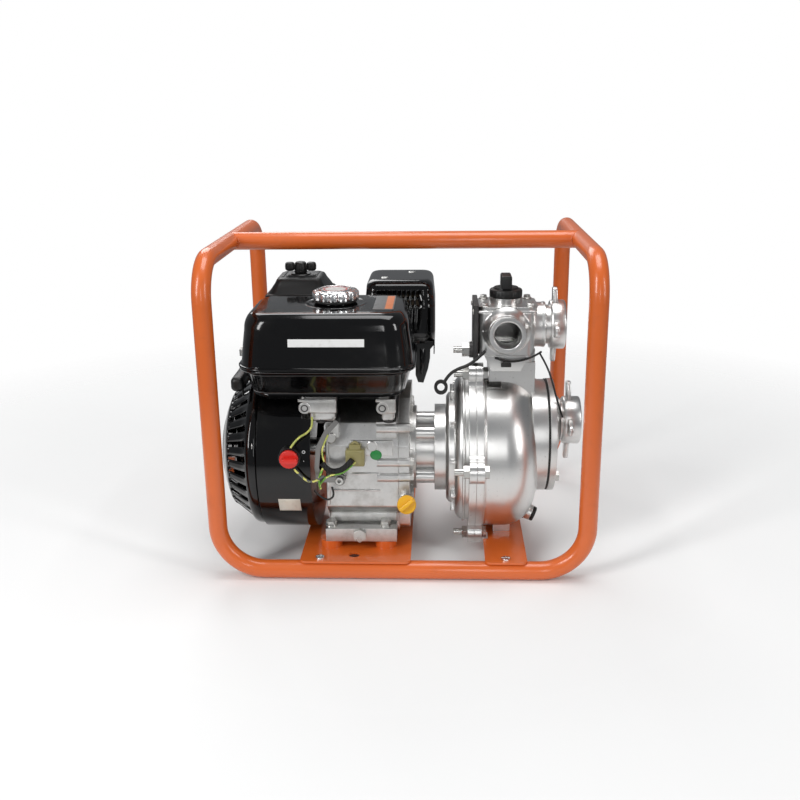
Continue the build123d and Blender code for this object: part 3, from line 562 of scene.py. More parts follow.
def join(bm, *others):
    """Add other shapes to the first."""
    for other in others:
        mesh = bpy.data.meshes.new("joined")
        other.to_mesh(mesh)
        other.free()
        bm.from_mesh(mesh)
        bpy.data.meshes.remove(mesh)
    return bm


def casting(node):
    """The node's own shape as a workable copy, in millimetres."""
    bm = bmesh.new()
    bm.from_mesh(frame["nodes"][node].data)
    bmesh.ops.remove_doubles(bm, verts=bm.verts, dist=0.000002)
    bmesh.ops.scale(bm, vec=(1 / MM, 1 / MM, 1 / MM), verts=bm.verts)
    return bm


def extrusion_turn(node, axis):
    """How far a winged part's long side is turned about its axis, from the part itself."""
    turn = Vector(axis).to_track_quat("Z", "Y").to_matrix().inverted()
    spots = [turn @ v.co for v in frame["nodes"][node].data.vertices]
    centre = sum((spot for spot in spots), Vector()) / len(spots)
    far = max((spot - centre for spot in spots), key=lambda p: p.x ** 2 + p.y ** 2)
    return atan2(far.y, far.x)


def open_cells(bm, test):
    """Cut away the faces whose centre passes a test, as slots are punched."""
    doomed = [f for f in bm.faces if test(f.calc_center_median())]
    bmesh.ops.delete(bm, geom=doomed, context="FACES")
    return bm


def score(bm, axis, places):
    """Cut the faces along planes square to an axis."""
    normal = Vector([1.0 if i == axis else 0.0 for i in range(3)])
    for place in places:
        bmesh.ops.bisect_plane(bm, geom=bm.verts[:] + bm.edges[:] + bm.faces[:], dist=0.0005,
                               plane_co=normal * place, plane_no=normal)
    return bm


def link_new(name, data):
    """A new object with this data, in the scene."""
    made = bpy.data.objects.new(name, data)
    bpy.context.scene.collection.objects.link(made)
    return made


def mount(piece, body, replaces):
    """Say which body a piece rides on, and hide the CAD nodes it stands for."""
    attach(piece, body)
    if replaces:
        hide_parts(*replaces)
    return piece


def finished(name, bm, material, body=BODY, replaces=(), angle=32.0, sheet=0.0):
    """Turn a shape into a piece: its place stays in its mesh, and it rides on a body."""
    bmesh.ops.scale(bm, vec=(MM, MM, MM), verts=bm.verts)
    for face in bm.faces:
        face.smooth = True
    for edge in sharp_edges(bm, angle):
        edge.smooth = False
    mesh = bpy.data.meshes.new(name)
    bm.to_mesh(mesh)
    bm.free()
    piece = link_new(name, mesh)
    mesh.materials.append(material)
    if sheet:
        thick = piece.modifiers.new("sheet", "SOLIDIFY")
        thick.thickness = sheet * MM
        thick.offset = -1
    return mount(piece, body, replaces)


def cord(name, route, radius, material, replaces=()):
    """Held cord along a smooth line through its route, in millimetres."""
    curve = bpy.data.curves.new(name, "CURVE")
    curve.dimensions = "3D"
    curve.bevel_depth = radius * MM
    curve.bevel_resolution = 5
    curve.resolution_u = 10
    curve.use_fill_caps = True
    line = curve.splines.new("NURBS")
    line.points.add(len(route) - 1)
    for point, place in zip(line.points, route):
        point.co = (*[c * MM for c in place], 1.0)
    line.order_u = 3
    line.use_endpoint_u = True
    curve.materials.append(material)
    return mount(link_new(name, curve), BODY, replaces)


# ------------------------------------------------------------------ settings
def number(name, description, default, **more):
    return bpy.props.FloatProperty(name=name, description=description, default=default, **more)


def count(name, description, default):
    return bpy.props.IntProperty(name=name, description=description, default=default)


def triple(name, description, default, subtype="COLOR"):
    return bpy.props.FloatVectorProperty(name=name, description=description, default=default,
                                         subtype=subtype)


class PumpPaint(bpy.types.PropertyGroup):
    frame_low: triple("Frame paint, deep", "Darker tone of the frame enamel", (0.60, 0.110, 0.014))
    frame_high: triple("Frame paint, bright", "Lighter tone of the frame enamel", (0.70, 0.140, 0.020))
    label: triple("Label film", "Colour of the blank tank strip", (0.80, 0.80, 0.79))


class PumpTank(bpy.types.PropertyGroup):
    corner: number("Corner", "Upright corner radius of the tank, in millimetres", 34.0)
    shoulder: number("Shoulder", "How far the top rounds over, in millimetres", 15.0)
    scallops: count("Cap scallops", "Finger hollows round the fuel cap", 12)


class PumpGuard(bpy.types.PropertyGroup):
    slots: count("Slots", "Cooling slots across each face of the muffler guard", 9)
    sheet: number("Sheet", "Guard sheet thickness, in millimetres", 1.6)


class PumpStarter(bpy.types.PropertyGroup):
    louvres: count("Louvres", "Air slots round the starter cover", 30)
    sheet: number("Sheet", "Starter cover thickness, in millimetres", 2.2)


class PumpStage(bpy.types.PropertyGroup):
    floor_colour: triple("Floor colour", "Paint of the studio floor", (0.86, 0.86, 0.855))
    room_light: number("Room light", "Brightness of the room seen in reflections", 0.22)
    camera_at: triple("Camera position", "Where the camera stands", (0.0541, -1.3897, 0.6310),
                      "TRANSLATION")
    camera_pitch: number("Pitch", "Camera tilt below the horizontal", 0.30469, subtype="ANGLE")
    camera_yaw: number("Yaw", "Camera turn towards the starter", 0.04511, subtype="ANGLE")
    camera_roll: number("Roll", "Camera roll", -0.01258, subtype="ANGLE")
    camera_lens: number("Lens", "Focal length in millimetres", 43.62)


# ------------------------------------------------------------------ pieces
class PUMP_OT_finishes(bpy.types.Operator):
    """Give each carried-over part its finish"""
    bl_idname = "pump.finishes"
    bl_label = "Part finishes"

    def execute(self, context):
        slots = {row["node"]: row["material_slot"] for row in frame["record"]["subparts"]}
        special = {"muffler": heat_tinted, "shaft_seal": machined, "crankshaft": machined,
                   "impeller": machined, "plate_screws": chromed,
                   "flywheel": dark_steel, "governor_arm": governor_steel}
        for name, node in frame["nodes"].items():
            node.data.materials.clear()
            node.data.materials.append(special.get(name, FINISH_OF_SLOT[slots[name]])())
        return {"FINISHED"}


class PUMP_OT_frame_welds(bpy.types.Operator):
    """Rippled weld beads where the carrying bar meets the hoops"""
    bl_idname = "pump.frame_welds"
    bl_label = "Frame welds"

    def execute(self, context):
        (x0, x1), _, (z0, z1) = span("top_bar")
        radius = (z1 - z0) / 2
        centre = middle((z0, z1))
        bead = bmesh.new()
        ripples = 46
        for x, side in ((x0, 1), (x1, -1)):
            for i in range(ripples):
                turn = 2 * pi * i / ripples
                reach = sqrt(max(radius * radius - (radius * sin(turn)) ** 2, 0))
                dab = bmesh.new()
                bmesh.ops.create_icosphere(dab, subdivisions=1, radius=1.7)
                shift(dab, (x + side * (reach + 1.0), (radius - 0.6) * cos(turn),
                            centre + (radius - 2.2) * sin(turn)))
                join(bead, dab)
        finished("top_bar_welds", bead, orange_enamel(), angle=70)
        return {"FINISHED"}


class PUMP_OT_fuel_tank(bpy.types.Operator):
    """Pressed fuel tank: crowned top half, deep pan, rolled seam and filler neck"""
    bl_idname = "pump.fuel_tank"
    bl_label = "Fuel tank"

    def execute(self, context):
        s = context.scene.pump_tank
        x, y, z = span("fuel_tank_upper")
        seam = z[0]
        top = z[1] - 4.0
        wall = 9.0
        rise = 24.0
        levels = insets(x, y, (4.0, seam), (0.6, seam), (0.0, seam + 0.9), (0.0, seam + 2.4),
                        (0.8, seam + 3.2), (3.4, seam + 3.8), (3.8, seam + 6.0), (6.2, seam + 28.0),
                        (wall, top - rise))
        levels += shoulder(x, y, wall, s.shoulder, top - rise, rise - 1.0, 8)
        levels += insets(x, y, (wall + s.shoulder + 8, top - 0.5), (wall + s.shoulder + 30, top))
        shell = pressed(levels, s.corner)
        cap_x, cap_y, _ = [middle(pair) for pair in span("fuel_cap")]
        filler = (cap_x, cap_y, top)
        neck = turned([(25, -3), (24.0, 0.5), (23, 1.2), (23, z[1] - top), (20, z[1] - top)], filler,
                      steps=48)
        dish = turned([(44, -1.2), (42, 0.35), (40, 0.55), (38.5, 0.2), (34, -0.6)], filler, steps=64)
        finished("fuel_tank_shell", join(shell, neck, dish), gloss_black(),
                 replaces=["fuel_tank_upper"], angle=28)

        x, y, z = span("fuel_tank_lower")
        rim = z[1]
        levels = insets(x, y, (26, z[0]), (20, z[0] + 1.5), (16.5, z[0] + 5.5), (13.5, z[0] + 13),
                        (10.5, z[0] + 24), (7.5, z[0] + 36), (6.0, rim - 5.0), (3.0, rim - 4.2),
                        (0.7, rim - 3.9), (0.1, rim - 3.2), (0.1, rim - 1.6), (3.0, rim - 1.2))
        finished("fuel_tank_pan", pressed(levels, s.corner * 0.8), gloss_black(),
                 replaces=["fuel_tank_lower"], angle=28)
        return {"FINISHED"}


class PUMP_OT_fuel_cap(bpy.types.Operator):
    """Chromed, scalloped fuel cap with a plain printed disc and its gasket"""
    bl_idname = "pump.fuel_cap"
    bl_label = "Fuel cap"

    def execute(self, context):
        s = context.scene.pump_tank
        x, y, z = span("fuel_cap")
        at = (middle(x), middle(y), 0)
        radius = (x[1] - x[0]) / 2
        low = z[1] - 14.4
        profile = [(0, low), (radius - 1.2, low), (radius - 0.2, low + 0.6), (radius, low + 1.6),
                   (radius, low + 9.0), (radius - 0.7, low + 10.8), (radius - 2.4, low + 12.0),
                   (radius - 6, low + 12.5), (radius - 8.4, low + 12.6), (radius - 9.4, z[1] - 0.2),
                   (radius - 10.8, z[1]), (radius - 12.4, z[1] - 0.4), (radius - 13.2,
                                                                        z[1] - 1.6), (0, z[1] - 1.6)]
        rim = turned(profile, steps=s.scallops * 10)
        for vert in rim.verts:
            reach = sqrt(vert.co.x ** 2 + vert.co.y ** 2)
            if reach > radius - 3.5:
                wave = max(0.0, -cos(s.scallops * atan2(vert.co.y, vert.co.x)))
                vert.co.x *= 1 - 0.10 * wave
                vert.co.y *= 1 - 0.10 * wave
        put(rim, at)
        finished("fuel_cap_rim", rim, chromed(), "fuel_cap", ["fuel_cap"], angle=40)
        disc = turned([(0, z[1] - 1.2), (radius - 13.6, z[1] - 1.2), (radius - 13.3, z[1] - 1.5)], at)
        finished("fuel_cap_disc", disc, blank_label("cap", 0.62, 0.60, 0.58), "fuel_cap")
        ring = turned([(radius - 15, z[1] - 1.0), (radius - 17.0, z[1] - 1.0)], at)
        finished("fuel_cap_ring", ring, blank_label("cap_ring", 0.50, 0.03, 0.03), "fuel_cap",
                 sheet=0.15)
        collar = turned([(23.4, low - 0.2), (29, low - 0.2), (29.6, low - 1.4), (29, low - 2.8),
                         (23.4, low - 2.8), (23.4, low - 0.2)], at)
        finished("fuel_cap_gasket", collar, rubber(), "fuel_cap")
        return {"FINISHED"}


class PUMP_OT_air_cleaner(bpy.types.Operator):
    """Moulded air cleaner cover with a stepped crown, and its three-lobed knob"""
    bl_idname = "pump.air_cleaner"
    bl_label = "Air cleaner"

    def execute(self, context):
        x, y, z = span("air_cleaner_cover")
        top = z[1] - 2.0
        levels = insets(x, y, (2.0, z[0]), (0.3, z[0]), (0.0, z[0] + 1.2), (0.0, z[0] + 5.0),
                        (1.6, z[0] + 6.4), (1.2, z[0] + 40))
        levels += shoulder(x, y, 1.2, 7.0, z[0] + 40, 12, 4)
        levels += insets(x, y, (12, z[0] + 58.5), (16.5, z[0] + 65.0), (18.4, z[0] + 69.0),
                         (20.2, z[0] + 71.6), (23.5, top - 0.6), (30, top))
        cover = pressed(levels, 15)
        kx, ky, kz = span("air_cleaner_knob")
        hub = (middle(kx), middle(ky))
        join(cover, turned([(17, top - 1.4), (15, top + 0.2), (13.6, top + 1.4), (8, top + 1.6),
                            (0, top + 1.6)],
                           (*hub, 0)))
        for side in (-1, 1):
            rib = block((hub[0] + side * 24 - 2, hub[0] + side * 24 + 2), (ky[0] - 14, ky[1] + 14),
                        (top - 4, top + 0.6), 1.2)
            join(cover, rib)
        finished("air_cleaner_shell", cover, moulded_black(),
                 replaces=["air_cleaner_cover"])

        knob = turned([(0, kz[0]), (9.0, kz[0]), (9.6, kz[0] + 1.5), (9.2, kz[0] + 9), (8.4, kz[1] - 2.2),
                       (6.8, kz[1] - 0.5), (4.5, kz[1]), (0, kz[1] - 0.2)], (*hub, 0), steps=32)
        for side in (-1, 1):
            lobe = turned([(0, kz[0] + 3.2), (5.4, kz[0] + 3.4), (7.2, kz[0] + 5.4), (7.5, kz[0] + 10.5),
                           (6.7, kz[1] - 2.4), (5.0, kz[1] - 1.2), (0, kz[1] - 0.9)],
                          (hub[0] + side * 16, hub[1], 0), steps=24)
            web = block((hub[0] + min(0, side * 16), hub[0] + max(0, side * 16)),
                        (hub[1] - 4.2, hub[1] + 4.2),
                        (kz[0] + 4.5, kz[1] - 4.0), 1.4)
            join(knob, lobe, web)
        finished("air_cleaner_wing_knob", knob, moulded_black(), "air_cleaner_knob",
                 ["air_cleaner_knob"])
        return {"FINISHED"}


class PUMP_OT_muffler_guard(bpy.types.Operator):
    """Pressed muffler guard with slotted faces, sunk screws and a tapered lower skirt"""
    bl_idname = "pump.muffler_guard"
    bl_label = "Muffler guard"

    def execute(self, context):
        s = context.scene.pump_guard
        x, y, z = span("muffler_guard")
        low = 284.0
        round_over = 9.0
        levels = insets(x, y, (0.0, low), (0.0, z[1] - 38))
        levels += insets(x, y, (1.0, z[1] - 26), (2.4, z[1] - 12))
        levels += shoulder(x, y, 2.4, round_over, z[1] - 12, 12, 6)
        guard = pressed(levels, 15, steps=6)
        floor = [f for f in guard.faces if abs(f.normal.z) > 0.9 and f.calc_center_median().z < low + 1]
        bmesh.ops.delete(guard, geom=floor, context="FACES")
        pitch = (x[1] - x[0] - 40) / s.slots
        first = x[0] + 20
        cuts = [first + pitch * (i + part) for i in range(s.slots) for part in (0.0, 0.55)]
        score(guard, 0, cuts)
        score(guard, 2, [z[1] - 40, z[1] - 15])
        side_pitch = (y[1] - y[0] - 34) / s.slots
        side_first = y[0] + 17
        side_cuts = [side_first + side_pitch * (i + part) for i in range(s.slots) for part in (0.0, 0.5)]
        score(guard, 1, side_cuts)
        score(guard, 2, [300.0, 346.0])

        def in_slot(value, start, step, share):
            place = (value - start) / step
            return 0 <= place < s.slots and place % 1 < share

        def slotted(c):
            across = in_slot(c.x, first, pitch, 0.55) and z[1] - 40 < c.z < z[1] - 15
            front_or_back = c.y < y[0] + 8 or c.y > y[1] - 8
            along = in_slot(c.y, side_first, side_pitch, 0.5) and 300 < c.z < 336 and c.x > x[1] - 6
            return (across and front_or_back) or along

        open_cells(guard, slotted)
        bmesh.ops.recalc_face_normals(guard, faces=guard.faces)
        finished("muffler_guard_hood", guard, gloss_black(), replaces=["muffler_guard"],
                 sheet=s.sheet)

        skirt = plate([(15.4, 287), (15.4, 236), (19, 225), (27, 224.2), (34, 246), (37, 262), (37.2, 275),
                       (43.6, 283), (43.6, 287)], s.sheet, at=(0, y[0] + 0.3 + s.sheet, 0), axis=(0, -1, 0))
        edge = block((42.0, 43.6), (y[0] + 0.3, y[0] + 60), (268, 287), 0.5)
        rib = plate([(22, 276), (22, 240), (24.5, 236), (27, 240), (30, 262), (30, 276)], 1.0, 0.4,
                    at=(0, y[0] + 0.4, 0), axis=(0, -1, 0))
        for bm in (skirt, rib):
            reshape(bm, lambda c: (abs(c.x), c.y, c.z))
        finished("muffler_guard_skirt", join(skirt, edge, rib), gloss_black())

        screws = bmesh.new()
        for sx, sy in ((-29.3, 18.9), (9.5, 66.0)):
            join(screws, turned([(0, 1.4), (4.6, 1.2), (5.8, 0.3), (7.6, 0.1)], (sx, sy, z[1] - 0.3),
                                steps=28))
        finished("muffler_guard_screws", screws, plated_steel())
        return {"FINISHED"}


class PUMP_OT_starter_cover(bpy.types.Operator):
    """Louvred starter cover with its centre boss and flange screws, and the pull grip"""
    bl_idname = "pump.starter_cover"
    bl_label = "Starter cover"

    def execute(self, context):
        s = context.scene.pump_starter
        x, y, z = span("recoil_cover")
        centre = (0, middle(y), middle(z))
        big = (y[1] - y[0]) / 2
        depth = x[1] - x[0]
        profile = [(big, 0), (big, 5)]
        profile += arc((big - 12, 8), 12, 0, 42, 5)
        profile += [(big - 7.5, 18.5), (big - 13.5, 26.5), (big - 26, 43)]
        profile += arc((big - 38, 34), 16, 42, 62, 3)
        profile += [(big - 46, 54.5), (54, depth - 4.2), (50, depth - 1.6), (46, depth - 0.3),
                    (34, depth - 0.3),
                    (32.5, depth - 1.8), (16, depth - 1.8), (14, depth), (0, depth)]
        steps = s.louvres * 5
        cover = turned(profile, steps=steps)
        turn = 360.0 / s.louvres

        def louvre(c):
            reach = sqrt(c.x ** 2 + c.y ** 2)
            angle = Vector((c.x, c.y)).angle_signed(Vector((1, 0))) * 180 / pi % 360
            in_a_row = big - 14 < reach < big - 7.6 or big - 27 < reach < big - 14
            return in_a_row and angle % turn > turn * 0.55

        open_cells(cover, louvre)
        put(cover, (x[1], centre[1], centre[2]), (-1, 0, 0))
        finished("starter_cover_shell", cover, gloss_black(), replaces=["recoil_cover"],
                 sheet=s.sheet)
        screws = bmesh.new()
        for angle in (40, 160, 280):
            reach = big - 5
            at = (x[1] - 5.5, centre[1] + reach * cos(radians(angle)),
                  centre[2] + reach * sin(radians(angle)))
            join(screws, hexagon_head(at, (-1, 0, 0), 8, 4.2, 6.2))
        finished("starter_cover_screws", screws, plated_steel())

        gx, gy, gz = span("starter_grip")
        grip_low = gz[1] - 20
        grip = block(gx, gy, (grip_low, gz[1]), 6.5, 5)
        for side in (-1, 1):
            hollow = [v for v in grip.verts if abs(v.co.x - (gx[0] if side < 0 else gx[1])) < 0.5]
            for vert in hollow:
                if abs(vert.co.y - middle(gy)) < 20:
                    vert.co.x -= side * 1.5
        mouth = (middle(gx) + 0.5, middle(gy))
        join(grip, turned([(5.5, grip_low + 1), (5.5, grip_low - 2.5), (4.6, grip_low - 4),
                           (2.2, grip_low - 4)],
                          (*mouth, 0), steps=24))
        rope = turned([(0, gz[0]), (1.7, gz[0]), (1.7, grip_low + 1), (0, grip_low + 1)], (*mouth, 0),
                      steps=16)
        finished("starter_pull_rope", rope, rubber(), "starter_handle")
        finished("starter_pull_grip", grip, moulded_black(), "starter_handle",
                 ["starter_grip"])
        return {"FINISHED"}


class PUMP_OT_engine_castings(bpy.types.Operator):
    """Crankcase and side cover with ribs, raised pads, bosses and a gasket line"""
    bl_idname = "pump.engine_castings"
    bl_label = "Engine castings"

    def execute(self, context):
        case = casting("crankcase")
        front = -158.0
        shapes = [
            block((-70, -12), (front - 1.6, front + 2), (164, 186), 1.2),
            block((-70, -30), (front - 2.2, front + 2), (136, 139), 1.0),
            block((-97, -30), (front - 1.2, front + 2), (112, 114.5), 0.9),
            block((-104, -99), (front - 2.6, front + 4), (92, 186), 1.4),
            block((-102, -8), (front + 14, front + 22), (60, 74), 2.0),
        ]
        for boss in ((-96, 190), (-40, 178)):
            shapes.append(turned([(0, 0), (6.5, 0), (7, -0.8), (7, -6), (0, -6)],
                                 (boss[0], front - 3.0, boss[1]),
                                 (0, -1, 0), 28))
        finished("crankcase_casting", join(case, *shapes), sand_cast(),
                 replaces=["crankcase"])

        cover = casting("engine_side_cover")
        face = 10.0
        ribs = []
        for angle in range(0, 360, 30):
            turn = radians(angle + 15)
            rib = block((face - 1, face + 4), (-1.5, 1.5), (58, 74), 0.9)
            ribs.append(shift(roll(rib, turn), SHAFT))
        finished("side_cover_casting", join(cover, *ribs), sand_cast(),
                 replaces=["engine_side_cover"])
        return {"FINISHED"}


class PUMP_OT_tank_brackets(bpy.types.Operator):
    """Cast tank feet with clamped ears and through bolts"""
    bl_idname = "pump.tank_brackets"
    bl_label = "Tank brackets"

    def execute(self, context):
        x, y, z = span("tank_brackets")
        metal = bmesh.new()
        bolts = bmesh.new()
        for x0, x1 in ((x[0], -86.0), (-34.0, x[1])):
            wide = x1 - x0
            join(metal, block((x0, x1), (y[0] + 1, y[1]), (z[1] - 5, z[1]), 1.6),
                 block((x0 + wide * 0.28, x1 - 2), (y[0] + 3, y[1] - 4), (214, z[1] - 2), 5.0, 4),
                 block((x0 + wide * 0.18, x1), (y[0] + 1, y[0] + 8), (226, z[1] - 1), 2.6),
                 turned([(0, 0), (7.4, 0), (8.4, -1), (8.4, -12), (0, -12)],
                        (x0 + 9, y[0] + 0.2, z[1] - 13),
                        (0, -1, 0), 32))
            join(bolts, turned([(0, -1.8), (3.4, -1.8), (3.4, 0.05), (4.6, 0.3), (5.2, 0.05)],
                               (x0 + 9, y[0] + 0.2, z[1] - 13), (0, -1, 0), 24),
                 hexagon_head((middle((x0, x1)) + 4, y[0] + 9, 212.6), (0, 0, 1), 10, 5.5, 7.5))
        finished("tank_feet", metal, sand_cast(), replaces=["tank_brackets"])
        finished("tank_foot_bolts", bolts, dark_steel())
        return {"FINISHED"}


class PUMP_OT_controls(bpy.types.Operator):
    """Engine switch, its dial marks, the oil alert unit and the oil cap"""
    bl_idname = "pump.controls"
    bl_label = "Controls"

    def execute(self, context):
        x, y, z = span("switch_knob")
        at = (-149.0, 0, 171.0)
        face = y[0] + 8.0
        knob = turned([(0, 4.8), (11.6, 4.8), (12.5, 4.0), (12.5, 1.0), (11.6, 0.2), (0, 0.2)],
                      (at[0], face + 4.8, at[2]), (0, -1, 0), 40)
        for i in range(20):
            turn = 2 * pi * i / 20
            join(knob, turned([(0, 4.4), (0.9, 4.4), (0.9, 0.6), (0, 0.6)],
                              (at[0] + 12.0 * cos(turn), face + 4.8,
                               at[2] + 12.0 * sin(turn)), (0, -1, 0), 8))
        bar = plate([(-12.5, -2.2), (-9, -3.6), (7, -3.2), (9.5, 0), (7, 3.2), (-9, 3.6), (-12.5, 2.2)],
                    8.0, 1.0)
        shift(reshape(bar, lambda c: (c.x, -c.z, c.y)), (at[0], face, at[2]))
        finished("switch_pointer_knob", join(knob, bar), red_plastic(), "switch_knob",
                 ["switch_knob"])
        marks = bmesh.new()
        for rise in (-6.0, 6.0):
            spot = (at[0] + 18.5, SHAFT[1] - 114.6 * cos(0.23 + rise / 114), at[2] + rise)
            join(marks, turned([(2.2, 0.6), (2.2, 0.0), (1.4, 0.0), (1.4, 0.6), (2.2, 0.6)] if rise > 0 else
                               [(0, 0.6), (0.6, 0.6), (0.6, 0)], spot, (0, -1, 0.23), 20))
        finished("switch_marks", marks, blank_label("marks", 0.75, 0.75, 0.74))

        x, y, z = span("oil_alert_unit")
        unit = block(x, y, (z[0], 176), 2.2)
        join(unit, block((x[0] + 3, x[1] - 3), (y[0] - 0.8, y[0] + 6), (z[0] + 3, 173), 1.0),
             block((x[0] + 5, x[1] - 5), (y[0] + 2.5, y[1] - 1), (174, z[1] - 3), 1.2),
             turned([(6.0, 0), (6.0, 1.8), (2.6, 1.8), (2.6, 0), (6, 0)],
                    (middle(x), y[0] + 6.5, z[1] - 4.5),
                    (0, -1, 0), 24))
        finished("oil_alert_case", unit, olive_lacquer(), replaces=["oil_alert_unit"])

        x, y, z = span("oil_cap")
        axis = Vector((0, -1, 0.25)).normalized()
        base = Vector((6.5, -150, 93)) + axis * 22.4
        cap = turned([(8.4, -11), (8.4, 0), (12.6, 0.1), (13.0, 0.8), (13.0, 5.0), (12.3, 5.9), (9, 6.1),
                      (0, 6.1)],
                     tuple(base), tuple(axis), 48)
        grip = block((-11.6, 11.6), (-2.8, 2.8), (5, 12.6), 1.6)
        put(grip, tuple(base), tuple(axis), radians(40))
        finished("oil_filler_cap", join(cap, grip), yellow_plastic(), "oil_cap",
                 ["oil_cap"],
                 angle=40)
        return {"FINISHED"}


class PUMP_OT_labels(bpy.types.Operator):
    """Blank films where the real machine carries its plates and stickers"""
    bl_idname = "pump.labels"
    bl_label = "Blank labels"

    def execute(self, context):
        paint = context.scene.pump_paint
        x, y, z = span("fuel_tank_upper")
        strip = block((-144.5, -45.5), (-0.15, 0.15), (-6.3, 6.3), 0.1, 1)
        lean = radians(6.6)
        shift(roll(strip, -lean), (0, y[0] + 7.15, 326.5))
        finished("tank_strip", strip, blank_label("strip", *paint.label))
        top = z[1] - 4.0
        card = pressed([((-36, -9), (-152, -62), top - 0.6), ((-36, -9), (-152, -62), top + 0.15)], 2)
        finished("tank_top_card", card, blank_label("card", 0.10, 0.10, 0.10))
        band = pressed([((-20.5, -10.5), (-149, -65), top - 0.4),
                        ((-20.5, -10.5), (-149, -65), top + 0.28)], 1)
        finished("tank_top_band", band, blank_label("band", 0.62, 0.16, 0.03))
        spot = turned([(0, 0.5), (7.8, 0.5), (8.4, 0.2), (8.4, 0)], (-35, -159.9, 165.5), (0, -1, 0), 32)
        bmesh.ops.scale(spot, vec=(0.95, 1, 0.85), space=Matrix.Translation((35, 159.9, -165.5)),
                        verts=spot.verts)
        finished("inspection_spot", spot, blank_label("spot", 0.008, 0.20, 0.035))
        tag = bmesh.new()
        bmesh.ops.create_grid(tag, x_segments=1, y_segments=10, size=0.5)
        for vert in tag.verts:
            turn = radians(19.0 + 11.8 * (0.5 - vert.co.y))
            reach = 114.25
            vert.co = (-153.5 + 30 * vert.co.x, SHAFT[1] - reach * cos(turn), SHAFT[2] - reach * sin(turn))
        bmesh.ops.recalc_face_normals(tag, faces=tag.faces)
        if sum((f.normal.y for f in tag.faces)) > 0:
            bmesh.ops.reverse_faces(tag, faces=tag.faces)
        finished("housing_card", tag, blank_label("housing", 0.62, 0.58, 0.50), sheet=0.15)
        return {"FINISHED"}


class PUMP_OT_pump_castings(bpy.types.Operator):
    """Pump casing halves with a machined joint, stiffening ribs and a cast pad"""
    bl_idname = "pump.pump_castings"
    bl_label = "Pump castings"

    def execute(self, context):
        dome = casting("volute_casing")
        pad = block((115.5, 136.5), (-3, 3), (-13, 13), 1.6)
        turn = radians(72)
        reach = 109.6
        shift(roll(pad, -turn), (0, SHAFT[1] - reach * cos(turn), SHAFT[2] + reach * sin(turn)))
        rim = turned([(112.5, 0), (113.6, 0.6), (113.6, 1.6), (112.5, 2.6), (111.5, 3.8)],
                     (111, *SHAFT[1:]), (1, 0, 0), 96)
        finished("volute_dome", join(dome, rim), bright_cast(), replaces=["volute_casing"])

        finished("casing_pad", pad, governor_steel())

        back = casting("pump_back_cover")
        ribs = []
        for i in range(10):
            rib = block((66, 74), (-2, 2), (78, 92), 1.2)
            ribs.append(shift(roll(rib, radians(36 * i + 12)), SHAFT))
        ring = turned([(104, 0), (105.6, 0.8), (105.6, 3.2), (104, 4.4)], (82, *SHAFT[1:]), (1, 0, 0), 96)
        finished("pump_back_casting", join(back, ring, *ribs), bright_cast(),
                 replaces=["pump_back_cover"])
        return {"FINISHED"}


